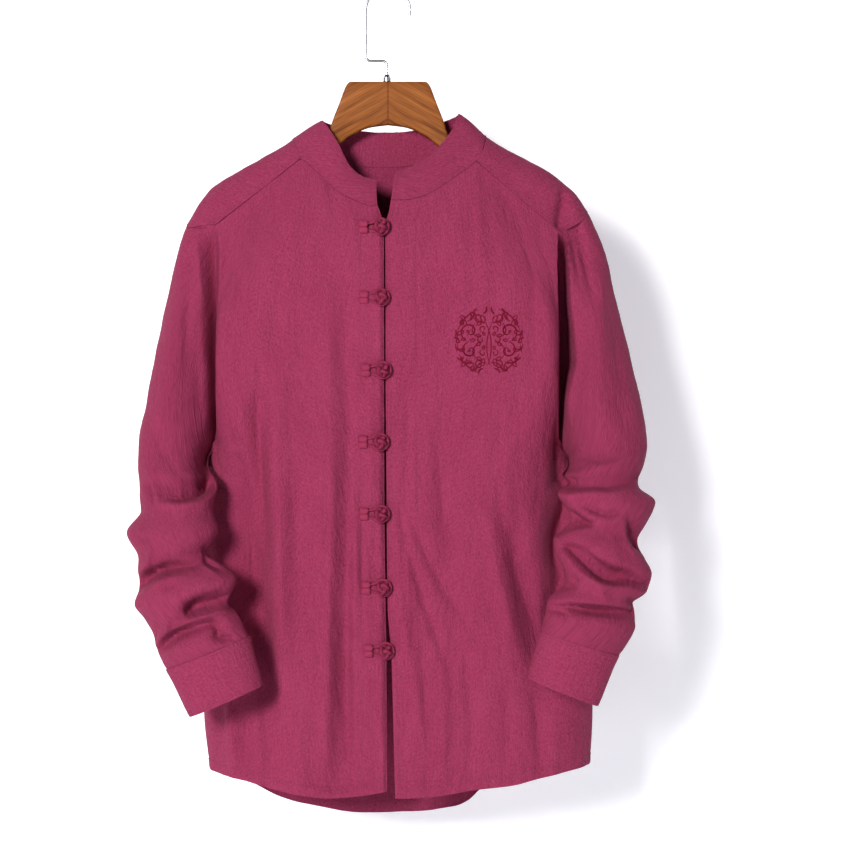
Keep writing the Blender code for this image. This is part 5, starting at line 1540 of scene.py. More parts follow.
def make_collar():
    """The stiff stand collar, stitched all round."""
    columns = even_stops(collar_point, 0.5, 0, STEP["small"])
    stops = even_stops(collar_point, 0.25, 1, STEP["small"])
    u, v = np.meshgrid(columns, stops, indexing="ij")
    points = extend(collar_point(u, v), "v0", COLLAR_LAP)
    cloth = Cloth(points, -1)
    base = cloth.edge_run("v0")
    top = cloth.edge_run("v1")
    seed = SEEDS["collar"]
    cloth.lift(STIFF_LIFT * near(base - COLLAR_LAP, 0.010)
               + ripple(seed, cloth.across, cloth.along, 0.030, 0.030) * 0.0004
               + pucker(base, COLLAR_STITCH, cloth.across, seed + 2) * 1.5
               + pucker(top, TOPSTITCH, cloth.across, seed + 3) * 1.2)
    soft_edge(cloth, ("v1", "u0", "u1"))
    finish_sheet("collar", cloth, DOUBLED, [
        ("v0", COLLAR_STITCH), ("v1", TOPSTITCH), ("u0", TOPSTITCH), ("u1", TOPSTITCH)])


def round_places(radius, like):
    """A sleeve's columns as places on a circle of this radius, for swells that close round it."""
    turn = np.radians(SLEEVE_ANGLES)[:, None]
    return np.cos(turn) * radius + 0 * like, np.sin(turn) * radius + 0 * like


def make_sleeve(side):
    """A sleeve, whose head goes on under the armhole's seam."""
    outward = SIDES[side]
    stops = LAST_RING * even_stops(lambda turn, share: sleeve_point(side, turn * 360.0, share * LAST_RING),
                                   0.25, 1, STEP["sleeve"])
    angle, ring = np.meshgrid(SLEEVE_ANGLES, stops, indexing="ij")
    points = sleeve_point(side, angle, ring)
    start = unit(points[:, 0] - points[:, 1])
    under = grid_normals(points, True, outward)[:, 0]
    more = [points[:, 0] + (start * LAP - under * LAP) * share for share in (1.0, 0.5)]
    points = np.concatenate([np.stack(more, axis=1), points], axis=1)
    cloth = Cloth(points, outward, closed=True)
    x, z = cloth.points[..., 0], cloth.points[..., 2]
    turn = np.radians(np.concatenate([angle[:, :2], angle], axis=1))
    front = smooth(np.sin(turn) * 2.2 + 0.25)
    behind = smooth(-np.sin(turn) * 2.2 + 0.10)
    head = cloth.edge_run("v0")
    seam = cloth.edge_run("v1")
    seed = SEEDS[side + "_sleeve"]
    creases = crease_heights(SLEEVE_LINES[side], x, z, SLEEVE_SHARP) * front
    creases = creases * smooth(head / HEAD_CREASE_FADE) * smooth(seam / WRIST_FADE)
    height = crease_heights(BEHIND_LINES[side], x, z, SLEEVE_SHARP) * behind
    round_x, round_y = round_places(SLEEVE_ROUND, z)
    height = height + ripple(seed, round_x + 0.3 * z, round_y + z, 0.016, 0.030) * 0.0007
    height = height + ripple(seed + 1, round_x, round_y + 0.5 * z, 0.010, 0.016) * 0.0004
    height = height + ripple(seed + 2, round_x + z, round_y - 0.2 * z, 0.0060, 0.0090) * 0.00018
    height = height * smooth(head / HEAD_FADE) * smooth(seam / WRIST_FADE)
    height = height - CUFF_DIP * near(seam, SEAM_DIP_WIDTH)
    cloth.crease(height, creases)
    facing = np.sin(np.radians(SLEEVE_ANGLES)) > 0
    armhole = points[facing, 2]
    armhole = armhole[np.argsort(armhole[:, 2])]
    past_seam = np.abs(x) - np.interp(z, armhole[:, 2], np.abs(armhole[:, 0]))
    widths = GROOVE[side].read_inside("width", -z)
    ahead = np.where(turn > 0, 1.0, -GROOVE_BEHIND)
    armhole_groove(cloth, side, -z, np.maximum(past_seam, 0.0), widths, ahead)
    finish_sheet(side + "_sleeve", cloth, ONE_LAYER,
                 [("v0", LAP + HEAD_STITCH)])


def make_cuff(side):
    """A plain doubled cuff, which laps over the sleeve's end."""
    outward = SIDES[side]
    stops = even_stops(lambda turn, share: cuff_point(side, turn * 360.0, share), 0.25, 1, STEP["small"],
                       low=-0.04)
    angle, share = np.meshgrid(SLEEVE_ANGLES, stops, indexing="ij")
    cloth = Cloth(cuff_point(side, angle, share), outward, closed=True)
    start = cloth.edge_run("v0")
    mouth = cloth.edge_run("v1")
    round_x, round_y = round_places(CUFF_ROUND, mouth)
    around = np.radians(SLEEVE_ANGLES)[:, None] * CUFF_ROUND + 0 * mouth
    seed = SEEDS["cuff"]
    cloth.lift(STIFF_LIFT * near(start - LAP, 0.014)
               + ripple(seed, round_x + mouth, round_y, 0.030, 0.030) * 0.0005
               + pucker(start, LAP + TOPSTITCH, around, seed + 1)
               + pucker(mouth, CUFF_STITCH, around, seed + 2))
    soft_edge(cloth, ("v1",))
    finish_sheet(side + "_cuff", cloth, DOUBLED,
                 [("v0", LAP + TOPSTITCH), ("v1", CUFF_STITCH)])


# Flat size of each cut piece and its flat area, where the cut isn't a rectangle
Cut = namedtuple("Cut", "width length area")


def finish_sheet(name, cloth, thickness, seams):
    """Makes the piece, and its stitches at the given distances from its edges."""
    work = Work()
    shell(work, cloth, thickness)
    piece = stand_for(name, work, name + "_cloth", "cloth")
    thread = Work()
    for edge, distance in seams:
        sew(thread, *cloth.row_beside(edge, distance))
    stitches = thread.make(name + "_stitches", "sewing thread")


def turks_head(centre, axis_lean):
    """The closed path of a woven ball knot about a pole that leans up from the line of sight."""
    turn = np.arange(KNOT_STOPS) * 2 * math.pi * KNOT_LEADS / KNOT_STOPS
    swing = KNOT_BIGHTS * turn / KNOT_LEADS
    latitude = math.radians(KNOT_SWING) * np.cos(swing)
    radius = BALL_RADIUS - KNOT_STRAND - KNOT_WEAVE + KNOT_WEAVE * np.sin(2 * swing)
    flat = places(radius * np.cos(latitude) * np.cos(turn), -radius * np.sin(latitude),
                  radius * np.cos(latitude) * np.sin(turn))
    lean = math.radians(axis_lean)
    turned = flat.copy()
    turned[:, 1] = flat[:, 1] * math.cos(lean) + flat[:, 2] * math.sin(lean)
    turned[:, 2] = -flat[:, 1] * math.sin(lean) + flat[:, 2] * math.cos(lean)
    return turned + centre, turned


def ball(work, centre, radius):
    """The plain core inside a woven knot."""
    latitude, turn = np.meshgrid(np.radians(np.linspace(-88, 88, 9)), np.radians(np.arange(0, 360, 30)),
                                 indexing="ij")
    points = places(np.cos(latitude) * np.cos(turn), np.cos(latitude) * np.sin(turn), np.sin(latitude))
    work.add_rod((centre + radius * points).swapaxes(0, 1))


def make_knots():
    """Seven ball knots on the left front's edge and the loops that hold them, sewn to the right front."""
    for number, (knot, lean) in enumerate(zip(KNOTS, KNOT_LEANS), start=1):
        x, z = knot
        depth = front_depth(x, z - LOOP_RADIUS)
        out = depth + SEAM_GAP + KNOT_RADIUS
        centre = np.array([x, -out, z])
        work = Work()
        path, ups = turks_head(centre, lean)
        work.add_rod(rod(path, ups, KNOT_STRAND, 9, flat=0.92, closed=True), closed=True)
        ball(work, centre, BALL_RADIUS - KNOT_STRAND * 1.75)
        stem_x = float(OPENING.read("left", -z)) - SEAM_GAP - STEM_INSET
        stem = smooth_path([(stem_x, -depth + 0.0010, z), (stem_x, -depth - 0.0010, z),
                            (x, -out + KNOT_RADIUS * 0.6, z), (x, -out, z)], 0.0008)
        work.add_rod(rod(stem, np.array([0.0, 0.0, 1.0]), STEM_RADIUS, 8))
        stand_for(f"knot_{number}", work, f"knot_{number}_cord", "cord")
        make_loop(number, x, z, depth)


def make_loop(number, x, z, depth):
    """The loop round the ball, and its two legs, flattened side by side under their stitches."""
    low = depth + SEAM_GAP + CORD_RADIUS
    leg = [(LEG_END, 0.0022), (LEG_END - 0.0008, 0.0003), (LEG_NECK + 0.0012, 0.0), (LEG_NECK, 0.0004)]
    stops = [(x - reach, -low + sink, z + LEG_SPREAD) for reach, sink in leg]
    for angle in range(140, -141, -20):
        a = math.radians(angle)
        rise = LOOP_RISE * (1 + math.cos(a))
        stops.append((x + RING_RADIUS * math.cos(a), -low - rise, z + RING_RADIUS * math.sin(a)))
    stops = stops + [(x - reach, -low + sink, z - LEG_SPREAD) for reach, sink in reversed(leg)]
    path = smooth_path(stops, 0.0007)
    on_leg = smooth((x - LEG_NECK + 0.0002 - path[:, 0]) / 0.0012)
    narrow = np.exp(-((path[:, 0] - x + LEG_NECK - 0.0016) / 0.0018) ** 2)
    radius = mix(CORD_RADIUS, LEG_HALF, on_leg) * (1 - 0.35 * narrow)
    work = Work()
    work.add_rod(rod(path, np.array([0.0, -1.0, 0.0]), radius, 12, flat=mix(1.0, LEG_FLAT, on_leg)))
    stand_for(f"loop_{number}", work, f"loop_{number}_cord", "cord")


def scroll(x, z, start, sweep_angle, radius, end_radius):
    """A spiral stroke about a centre, in millimetres from the roundel's middle."""
    share = np.linspace(0.0, 1.0, 18)
    angle = np.radians(start + sweep_angle * share)
    reach = mix(radius, end_radius, share)
    return np.stack([x + reach * np.cos(angle), z + reach * np.sin(angle)], axis=1)


def bow(x0, z0, x1, z1, bulge):
    """A bent stroke between two places, bulging to its left."""
    share = np.linspace(0.0, 1.0, 9)[:, None]
    start, end = np.array([x0, z0]), np.array([x1, z1])
    way = end - start
    side = np.array([-way[1], way[0]])
    return start + way * share + side * bulge * 4 * share * (1 - share)


# The strokes of the roundel's right half, in millimetres from its middle. A curl is a scroll about its
# own centre. A spike stands on the rim at an angle. A leaf is two bows that bulge apart
Curl = namedtuple("Curl", "x z start sweep radius end_radius half_width")
CURLS = [
    Curl(21.0, 10.5, -70, 400, 11.0, 1.8, 0.95),
    Curl(20.5, -10.0, 80, -390, 9.5, 1.6, 0.95),
    Curl(11.0, 26.0, -120, 330, 5.8, 1.2, 0.80),
    Curl(10.5, -26.0, 110, -330, 5.6, 1.2, 0.80),
    Curl(8.8, 1.5, 100, -320, 4.6, 1.2, 0.75),
    Curl(29.0, 19.5, 200, -330, 4.6, 1.2, 0.75),
    Curl(28.5, -19.5, -200, 330, 4.6, 1.2, 0.75),
    Curl(6.5, 13.5, -60, 300, 4.0, 1.0, 0.70),
    Curl(6.5, -13.0, 60, -300, 4.0, 1.0, 0.70),
    Curl(33.5, 0.0, 90, -300, 3.2, 1.0, 0.70),
    Curl(0.0, 0.0, 20, 52, 36.0, 36.6, 0.80),
    Curl(0.0, 0.0, -70, 46, 36.4, 36.0, 0.80),
    Curl(0.0, 0.0, -18, 14, 37.0, 37.0, 0.70),
    Curl(0.0, 0.0, 4, 14, 37.0, 37.0, 0.70),
]
Spike = namedtuple("Spike", "angle reach length bulge")
SPIKES = [
    Spike(78, 31.0, 7.0, 0.25),
    Spike(62, 32.5, 6.0, -0.25),
    Spike(48, 31.5, 6.0, 0.3),
    Spike(30, 34.0, 5.0, 0.3),
    Spike(12, 32.0, 6.5, -0.3),
    Spike(-2, 33.0, 5.5, 0.3),
    Spike(-16, 31.0, 6.5, -0.25),
    Spike(-34, 33.5, 5.5, -0.3),
    Spike(-52, 31.5, 6.0, 0.25),
    Spike(-64, 32.0, 6.0, -0.3),
    Spike(-79, 31.0, 6.5, 0.25),
]
SPIKE_TURN = 7
SPIKE_HALF_WIDTH = 1.05
Stem = namedtuple("Stem", "x0 z0 x1 z1 bulge")
STEMS = [
    Stem(1.4, -27.0, 3.2, 20.0, 0.10),
    Stem(3.2, 20.0, 15.0, 31.0, -0.25),
    Stem(2.0, -24.0, 14.0, -31.5, 0.25),
    Stem(12.0, 4.0, 15.0, 20.0, -0.30),
    Stem(12.0, -3.0, 14.0, -19.0, 0.30),
    Stem(24.0, 22.0, 16.0, 31.0, 0.20),
    Stem(24.0, -21.0, 16.0, -31.5, -0.20),
    Stem(31.0, 12.0, 34.5, 3.5, 0.20),
    Stem(30.0, -12.0, 34.5, -3.5, -0.20),
]
Leaf = namedtuple("Leaf", "x z angle length")
LEAVES = [
    Leaf(5.0, 20.0, 70, 9.0),
    Leaf(13.0, 17.0, 130, 7.0),
    Leaf(26.0, 23.5, 40, 7.0),
    Leaf(25.5, 3.0, -20, 5.5),
    Leaf(5.5, -19.0, -75, 9.0),
    Leaf(13.5, -17.5, 215, 7.0),
    Leaf(25.5, -23.0, -45, 7.0),
    Leaf(14.0, 7.0, 200, 6.0),
    Leaf(14.5, -4.5, 160, 6.0),
    Leaf(21.0, 10.0, 20, 4.0),
    Leaf(20.0, -10.0, -20, 4.0),
    Leaf(17.0, 27.0, 60, 6.0),
    Leaf(17.0, -27.0, -60, 6.0),
    Leaf(15.0, 1.0, 0, 6.0),
    Leaf(28.0, 8.0, 60, 5.5),
    Leaf(27.0, -7.0, -60, 5.5),
    Leaf(4.5, 6.0, 60, 5.0),
    Leaf(4.5, -5.0, -60, 5.0),
]
LEAF_BULGE = 0.24
THIN_HALF_WIDTH = 0.70


def roundel_strokes():
    """The strokes of the roundel's right half, with their half widths, in millimetres."""
    strokes = [(scroll(*curl[:-1]), curl.half_width) for curl in CURLS]
    for angle, reach, length, bulge in SPIKES:
        a = math.radians(angle)
        b = math.radians(angle + SPIKE_TURN)
        tip = reach + length
        spike = bow(reach * math.cos(a), reach * math.sin(a), tip * math.cos(b), tip * math.sin(b), bulge)
        strokes.append((spike, SPIKE_HALF_WIDTH))
    for stem in STEMS:
        strokes.append((bow(*stem), THIN_HALF_WIDTH))
    for x, z, angle, length in LEAVES:
        a = math.radians(angle)
        for bulge in (LEAF_BULGE, -LEAF_BULGE):
            edge = bow(x, z, x + length * math.cos(a), z + length * math.sin(a), bulge)
            strokes.append((edge, THIN_HALF_WIDTH))
    return strokes


def make_roundel(cloth):
    """Raised satin stitching on the left chest: the strokes of one half and their mirror."""
    work = Work()
    for stroke, half_width in roundel_strokes():
        for sign in (1, -1):
            flat = smooth_path(stroke * (sign, 1.0) * MM, 0.0008)
            line, normals = cloth.at(ROUNDEL_CENTRE[0] + flat[:, 0], ROUNDEL_CENTRE[1] + flat[:, 1])
            taper = np.sin(math.pi * np.linspace(0.06, 0.94, len(line))) ** 0.5
            work.add_rod(rod(line, normals, half_width * MM * taper, 6, flat=0.75))
    piece = work.make("chest_roundel", "dark red thread")


def make_hanger():
    """The hanger's wood in closer sections, its block's corners rounded."""
    sides = 40
    reach = np.concatenate([np.linspace(0.0, 0.040, 12), np.linspace(0.0425, 0.115, 40),
                            np.linspace(0.118, TIP_START, 40), np.linspace(0.2040, HANGER_TIP, 8)])
    stations = np.concatenate([-reach[:0:-1], reach])
    grid = []
    for x in stations:
        top, bottom, half, square = hanger_station(x)
        close = float(smooth((abs(x) - TIP_START) / (HANGER_TIP - TIP_START)))
        lowered = mix(top, mix(top, bottom, TIP_CLOSE), close)
        bottom = mix(bottom, mix(bottom, top, TIP_CLOSE), close)
        top = lowered
        half = half * mix(1.0, TIP_THICKNESS, close)
        turn = 2 * math.pi * (np.arange(sides) + 0.5) / sides
        c, s = np.cos(turn), np.sin(turn)
        y = half * np.sign(c) * np.abs(c) ** (2 / square)
        rise = np.sign(s) * np.abs(s) ** (2 / square)
        grid.append(places(x, y, (top + bottom) / 2 + rise * (top - bottom) / 2))
    work = Work()
    work.add_rod(np.array(grid).swapaxes(0, 1))
    stand_for("hanger_wood", work, "hanger_arms", "wood")


def make_hook():
    """The bent wire, and the small round nut at its foot."""
    path = smooth_path(hook_path(), 0.0012)
    work = Work()
    work.add_rod(rod(path, np.array([0.0, 1.0, 0.0]), WIRE, 14))
    stand_for("hanger_hook", work, "hanger_wire", "steel")
    foot = float(HANGER.read("top", 0.0)) + SEAM_GAP
    shoulder = foot + FERRULE_HEIGHT * FERRULE_SHOULDER
    top = STEM_FOOT - SEAM_GAP
    profile = [(foot, 0.86), (foot + 0.0004, 1.0), (shoulder, 1.0), (shoulder + 0.0005, 0.84),
               (top, FERRULE_NECK)]
    turn = 2 * math.pi * np.arange(36) / 36
    grid = []
    for height, share in profile:
        radius = FERRULE_RADIUS * share
        grid.append(places(STEM_X + radius * np.cos(turn), radius * np.sin(turn), height))
    work = Work()
    work.add_rod(np.array(grid).swapaxes(0, 1))
    stand_for("hanger_ferrule", work, "hanger_nut", "steel")


class Nodes:
    """Builds one node tree: each call adds a node, sets its inputs and links those that are sockets."""

    def __init__(self, tree):
        self.tree = tree

    def add(self, kind, settings=(), **inputs):
        """An input is named by its label, with _ for a space, or by i and its number."""
        node = self.tree.nodes.new(kind)
        for name, value in dict(settings).items():
            setattr(node, name, value)
        for name, value in inputs.items():
            key = int(name[1:]) if name[1:].isdigit() else name.replace("_", " ")
            self.join(value, node.inputs[key])
        return node

    def join(self, value, socket):
        if isinstance(value, bpy.types.NodeSocket):
            self.tree.links.new(value, socket)
        else:
            socket.default_value = value

    def maths(self, operation, first, second=0.0):
        return self.add("ShaderNodeMath", {"operation": operation}, i0=first, i1=second).outputs[0]

    def weighted(self, *terms):
        """The sum of the given values, each times its own weight."""
        total = None
        for value, weight in terms:
            part = self.maths("MULTIPLY", value, weight)
            total = part if total is None else self.maths("ADD", total, part)
        return total

    def noise(self, vector, scale, detail=2.0, roughness=0.5):
        """Soft noise between 0 and 1; scale has one count a metre for each axis."""
        stretched = self.add("ShaderNodeVectorMath", {"operation": "MULTIPLY"}, i0=vector, i1=scale)
        return self.add("ShaderNodeTexNoise", {}, Vector=stretched.outputs[0], Scale=1.0,
                        Detail=detail, Roughness=roughness).outputs[0]

    def blend(self, share, first, second):
        """The first colour where the share is 0, and the second where it is 1."""
        node = self.add("ShaderNodeMix", {"data_type": "RGBA"})
        self.join(share, node.inputs[0])
        self.join(first, node.inputs[6])
        self.join(second, node.inputs[7])
        return node.outputs[2]


def group(name, inputs, outputs):
    """A new node group, with the sockets of what it is given and of what it gives."""
    tree = bpy.data.node_groups.new(name, "ShaderNodeTree")
    for label, kind in inputs:
        tree.interface.new_socket(label, in_out="INPUT", socket_type=kind)
    for label, kind in outputs:
        tree.interface.new_socket(label, in_out="OUTPUT", socket_type=kind)
    nodes = Nodes(tree)
    return nodes, nodes.add("NodeGroupInput").outputs, nodes.add("NodeGroupOutput").inputs


FLOAT = "NodeSocketFloat"
COLOUR = "NodeSocketColor"
VECTOR = "NodeSocketVector"


def weave_group():
    """Plain weave with slubs down and across, and uneven dye; Lay is the cloth's own place in metres."""
    nodes, given, result = group(
        "slubbed weave",
        [("Lay", VECTOR), ("Dye", COLOUR), ("Deep", COLOUR), ("Pale", COLOUR), ("Pitch", FLOAT),
         ("Slubs", FLOAT)],
        [("Color", COLOUR), ("Height", FLOAT), ("Roughness", FLOAT)])
    lay = given["Lay"]
    parts = nodes.add("ShaderNodeSeparateXYZ", {}, Vector=lay).outputs
    turns = nodes.maths("DIVIDE", 2 * math.pi, given["Pitch"])
    over = nodes.maths("SINE", nodes.maths("MULTIPLY", parts[0], turns))
    under = nodes.maths("SINE", nodes.maths("MULTIPLY", parts[1], turns))
    weave = nodes.maths("MULTIPLY", over, under)
    down = nodes.noise(lay, (820.0, 42.0, 1.0), 2.0, 0.6)
    across = nodes.noise(lay, (36.0, 900.0, 1.0), 2.0, 0.6)
    fine = nodes.noise(lay, (1500.0, 260.0, 1.0), 1.0, 0.5)
    blotch = nodes.noise(lay, (17.0, 11.0, 1.0), 3.0, 0.6)
    crinkle = nodes.noise(lay, (250.0, 100.0, 1.0), 3.0, 0.55)
    grain = nodes.noise(lay, (480.0, 380.0, 1.0), 2.0, 0.6)
    rumple = nodes.noise(lay, (95.0, 38.0, 1.0), 2.0, 0.5)
    threads = nodes.weighted((down, 0.60), (across, 0.40))
    centred = [nodes.maths("SUBTRACT", value, 0.5) for value in (threads, blotch, fine, grain)]
    lean = nodes.weighted(*zip(centred, (given["Slubs"], 0.50, 0.60, 1.70)))
    darker = nodes.add("ShaderNodeClamp", {}, Value=nodes.maths("MULTIPLY", lean, -1.3)).outputs[0]
    paler = nodes.add("ShaderNodeClamp", {}, Value=nodes.maths("MULTIPLY", lean, 0.9)).outputs[0]
    colour = nodes.blend(paler, nodes.blend(darker, given["Dye"], given["Deep"]), given["Pale"])
    nodes.join(colour, result["Color"])
    height = nodes.weighted((weave, 0.000025), (threads, 0.00030), (crinkle, 0.0010), (rumple, 0.0016),
                            (grain, 0.00110))
    nodes.join(height, result["Height"])
    nodes.join(nodes.maths("ADD", 0.80, nodes.maths("MULTIPLY", threads, 0.16)), result["Roughness"])
    return nodes.tree


def twist_group():
    """A twisted cord: slanting strands round it, the grooves between them darkened as painted shade; Lay is
    round and along in metres.
    """
    nodes, given, result = group("twisted strands", [("Lay", VECTOR), ("Dye", COLOUR), ("Deep", COLOUR),
                                                     ("Pitch", FLOAT)],
                                 [("Color", COLOUR), ("Height", FLOAT)])
    parts = nodes.add("ShaderNodeSeparateXYZ", {}, Vector=given["Lay"]).outputs
    turns = nodes.maths("DIVIDE", 2 * math.pi, given["Pitch"])
    slant = nodes.maths("MULTIPLY", nodes.maths("ADD", parts[0], parts[1]), turns)
    strands = nodes.maths("MULTIPLY", nodes.maths("ADD", nodes.maths("SINE", slant), 1.0), 0.5)
    fluff = nodes.noise(given["Lay"], (900.0, 900.0, 1.0), 3.0, 0.6)
    share = nodes.add("ShaderNodeClamp", {}, Value=nodes.weighted((strands, 0.7), (fluff, 0.4))).outputs[0]
    # The grooves between the strands take the darker colour: painted shade, mottled by the random fluff
    nodes.join(nodes.blend(share, given["Deep"], given["Dye"]), result["Color"])
    nodes.join(nodes.weighted((strands, 0.00022), (fluff, 0.00018)), result["Height"])
    return nodes.tree


def wood_group():
    """Two boards whose grain runs down and outward from a joint in the middle; Place is in metres."""
    nodes, given, result = group("chevron grain", [("Place", VECTOR), ("Light", COLOUR), ("Dark", COLOUR)],
                                 [("Color", COLOUR), ("Height", FLOAT), ("Roughness", FLOAT)])
    parts = nodes.add("ShaderNodeSeparateXYZ", {}, Vector=given["Place"]).outputs
    reach = nodes.maths("ABSOLUTE", parts[0])
    across = nodes.weighted((parts[2], 0.87), (reach, 0.50))
    along = nodes.weighted((reach, 0.87), (parts[2], -0.50))
    board = nodes.add("ShaderNodeCombineXYZ", {}, X=across, Y=along, Z=parts[1]).outputs[0]
    broad = nodes.noise(board, (150.0, 8.0, 20.0), 3.0, 0.6)
    figure = nodes.noise(board, (620.0, 22.0, 80.0), 3.0, 0.65)
    pores = nodes.noise(board, (1500.0, 60.0, 600.0), 2.0, 0.6)
    share = nodes.weighted((broad, 0.9), (figure, 0.9), (pores, 0.3))
    share = nodes.add("ShaderNodeMapRange", {}, Value=share, From_Min=0.78, From_Max=1.36).outputs[0]
    joint = nodes.add("ShaderNodeMapRange", {}, Value=reach, From_Min=0.0003, From_Max=0.0016).outputs[0]
    share = nodes.maths("MULTIPLY", share, nodes.maths("ADD", nodes.maths("MULTIPLY", joint, 0.75), 0.25))
    nodes.join(nodes.blend(share, given["Dark"], given["Light"]), result["Color"])
    nodes.join(nodes.maths("MULTIPLY", pores, 0.00006), result["Height"])
    nodes.join(nodes.maths("SUBTRACT", 0.62, nodes.maths("MULTIPLY", share, 0.12)), result["Roughness"])
    return nodes.tree


def new_material(name):
    material = bpy.data.materials.new(name)
    material.use_nodes = True
    nodes = Nodes(material.node_tree)
    return material, nodes, material.node_tree.nodes["Principled BSDF"]


def use_group(nodes, tree, **inputs):
    node = nodes.add("ShaderNodeGroup", {"node_tree": tree}, **inputs)
    return node.outputs


def lay_of(nodes):
    return nodes.add("ShaderNodeUVMap", {"uv_map": "lay"}).outputs[0]


def opaque(colour):
    return (*colour, 1.0)


def set_surface(nodes, shader, made):
    """Joins what a group gives to the shader: its colour, its roughness if it has one, and its relief."""
    nodes.join(made["Color"], shader.inputs["Base Color"])
    if "Roughness" in made:
        nodes.join(made["Roughness"], shader.inputs["Roughness"])
    bump = nodes.add("ShaderNodeBump", {}, Strength=1.0, Distance=1.0, Height=made["Height"])
    nodes.join(bump.outputs[0], shader.inputs["Normal"])


def cloth_material(name, weave, dye, sheen):
    material, nodes, shader = new_material(name)
    made = use_group(nodes, weave, Lay=lay_of(nodes), Dye=opaque(DYES[dye]), Deep=opaque(DYES["deep berry dye and groove shade"]),
                     Pale=opaque(DYES["pale slub"]), Pitch=WEAVE_PITCH, Slubs=SLUBS)
    set_surface(nodes, shader, made)
    shader.inputs["Specular IOR Level"].default_value = 0.14
    shader.inputs["Sheen Weight"].default_value = sheen
    shader.inputs["Sheen Roughness"].default_value = 0.45
    shader.inputs["Sheen Tint"].default_value = (1.0, 0.55, 0.72, 1.0)
    return material


def cord_material(name, twist, dye, deep, shine):
    material, nodes, shader = new_material(name)
    # The darker colour goes into the grooves between the strands as painted shade
    made = use_group(nodes, twist, Lay=lay_of(nodes), Dye=opaque(DYES[dye]), Deep=opaque(DYES[deep]),
                     Pitch=TWIST_PITCH[dye])
    set_surface(nodes, shader, made)
    shader.inputs["Roughness"].default_value = 0.50
    shader.inputs["Specular IOR Level"].default_value = shine
    return material


def wood_material(grain):
    material, nodes, shader = new_material("hanger wood")
    place = nodes.add("ShaderNodeTexCoord").outputs["Object"]
    made = use_group(nodes, grain, Place=place, Light=opaque(DYES["light wood"]),
                     Dark=opaque(DYES["dark wood"]))
    set_surface(nodes, shader, made)
    shader.inputs["Coat Weight"].default_value = 0.02
    shader.inputs["Specular IOR Level"].default_value = 0.12
    shader.inputs["Coat Roughness"].default_value = 0.25
    return material


def steel_material():
    material, nodes, shader = new_material("hook steel")
    place = nodes.add("ShaderNodeTexCoord").outputs["Object"]
    drawn = nodes.noise(place, (900.0, 900.0, 300.0), 2.0)
    nodes.join(nodes.maths("ADD", 0.20, nodes.maths("MULTIPLY", drawn, 0.12)), shader.inputs["Roughness"])
    shader.inputs["Base Color"].default_value = opaque(DYES["steel"])
    shader.inputs["Metallic"].default_value = 1.0
    return material


def stage_material(name, colour, glow):
    """Pale and dull, and clear from behind, so that the backdrop hides nothing from the other side."""
    material, nodes, shader = new_material(name)
    shader.inputs["Base Color"].default_value = opaque(colour)
    shader.inputs["Roughness"].default_value = 0.95
    shader.inputs["Specular IOR Level"].default_value = 0.1
    shader.inputs["Emission Color"].default_value = (0.90, 0.93, 1.0, 1.0)
    shader.inputs["Emission Strength"].default_value = glow
    behind = nodes.add("ShaderNodeNewGeometry").outputs["Backfacing"]
    clear = nodes.add("ShaderNodeBsdfTransparent").outputs[0]
    mixed = nodes.add("ShaderNodeMixShader", {}, i0=behind, i1=shader.outputs[0], i2=clear)
    output = material.node_tree.nodes["Material Output"]
    nodes.join(mixed.outputs[0], output.inputs["Surface"])
    return material


def make_stage():
    corners = {
        "backdrop": [(-3.0, WALL, FLOOR), (3.0, WALL, FLOOR), (3.0, WALL, 2.2), (-3.0, WALL, 2.2)],
        "floor": [(-3.0, -3.2, FLOOR), (3.0, -3.2, FLOOR), (3.0, WALL, FLOOR), (-3.0, WALL, FLOOR)],
    }
    for name, corner in corners.items():
        mesh = bpy.data.meshes.new(name)
        mesh.from_pydata(corner, [], [(0, 1, 2, 3)])
        mesh.materials.append(stage_material(name + " paint", (0.86, 0.86, 0.875), GLOW[name]))
        plane = bpy.data.objects.new(name, mesh)
        bpy.context.scene.collection.objects.link(plane)


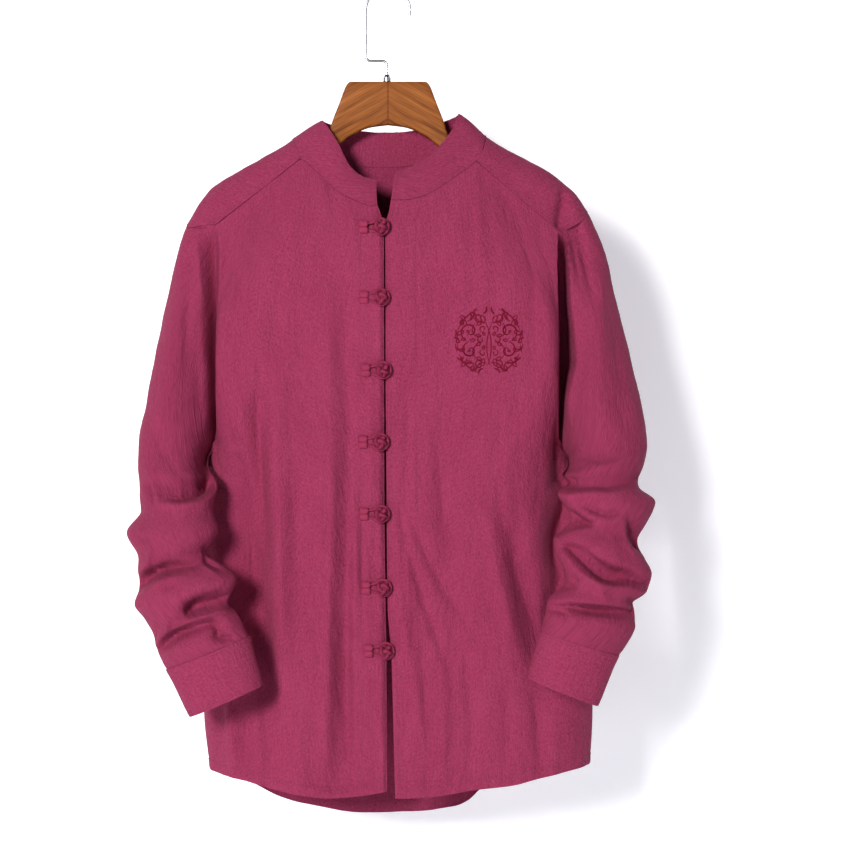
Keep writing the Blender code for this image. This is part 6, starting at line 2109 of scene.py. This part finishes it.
Lamp = namedtuple("Lamp", "name place aim size watts colour")
LAMPS = [
    Lamp("key", (-1.54, -4.10, 0.40), (0.0, 0.0, -0.50), 0.9, 223.0, (1.0, 0.99, 0.98)),
    Lamp("fill", (2.3, -2.2, -0.2), (0.0, 0.0, -0.50), 1.6, 9.5, (0.90, 0.95, 1.0)),
    Lamp("back", (0.8, 2.4, 0.9), (0.0, 0.0, -0.45), 1.6, 30.0, (1.0, 1.0, 1.0)),
]


def make_lights():
    for lamp in LAMPS:
        light = bpy.data.lights.new(lamp.name, "AREA")
        light.size = lamp.size
        light.energy = lamp.watts
        light.color = lamp.colour
        holder = bpy.data.objects.new(lamp.name, light)
        bpy.context.scene.collection.objects.link(holder)
        holder.location = lamp.place
        way = Vector(lamp.aim) - Vector(lamp.place)
        holder.rotation_euler = way.to_track_quat("-Z", "Y").to_euler()
    world = bpy.data.worlds.new("soft room")
    world.use_nodes = True
    background = world.node_tree.nodes["Background"]
    background.inputs["Color"].default_value = (0.96, 0.97, 1.0, 1.0)
    background.inputs["Strength"].default_value = 0.06
    bpy.context.scene.world = world
    bpy.context.scene.view_settings.view_transform = "Standard"


def make_camera():
    camera = bpy.data.cameras.new("camera")
    camera.lens = LENS
    camera.sensor_width = SENSOR
    holder = bpy.data.objects.new("camera", camera)
    holder.location = CAMERA
    holder.rotation_euler = (math.radians(90), 0.0, 0.0)
    bpy.context.scene.collection.objects.link(holder)
    bpy.context.scene.camera = holder


WEAVE = weave_group()
TWIST = twist_group()
MATERIALS = {
    "cloth": cloth_material("berry cloth", WEAVE, "berry", 0.02),
    # The cords and the threads have painted shade in the grooves between their strands
    "cord": cord_material("berry cord", TWIST, "cord", "cord groove shade", 0.12),
    "sewing thread": cord_material("sewing thread", TWIST, "sewing thread", "deep berry dye and groove shade", 0.15),
    "dark red thread": cord_material("dark red thread", TWIST, "dark red thread", "red thread groove shade", 0.10),
    "wood": wood_material(wood_group()),
    "steel": steel_material(),
}

rows = even_stops(lambda u, v: front_point("left", u, v), 0.55, 1, STEP["front"])
for side in SIDES:
    front = make_front(side, rows)
make_back(rows)
make_yoke()
make_collar()
for side in SIDES:
    make_sleeve(side)
    make_cuff(side)
make_roundel(front)
make_knots()
make_hanger()
make_hook()
make_stage()
make_lights()
make_camera()
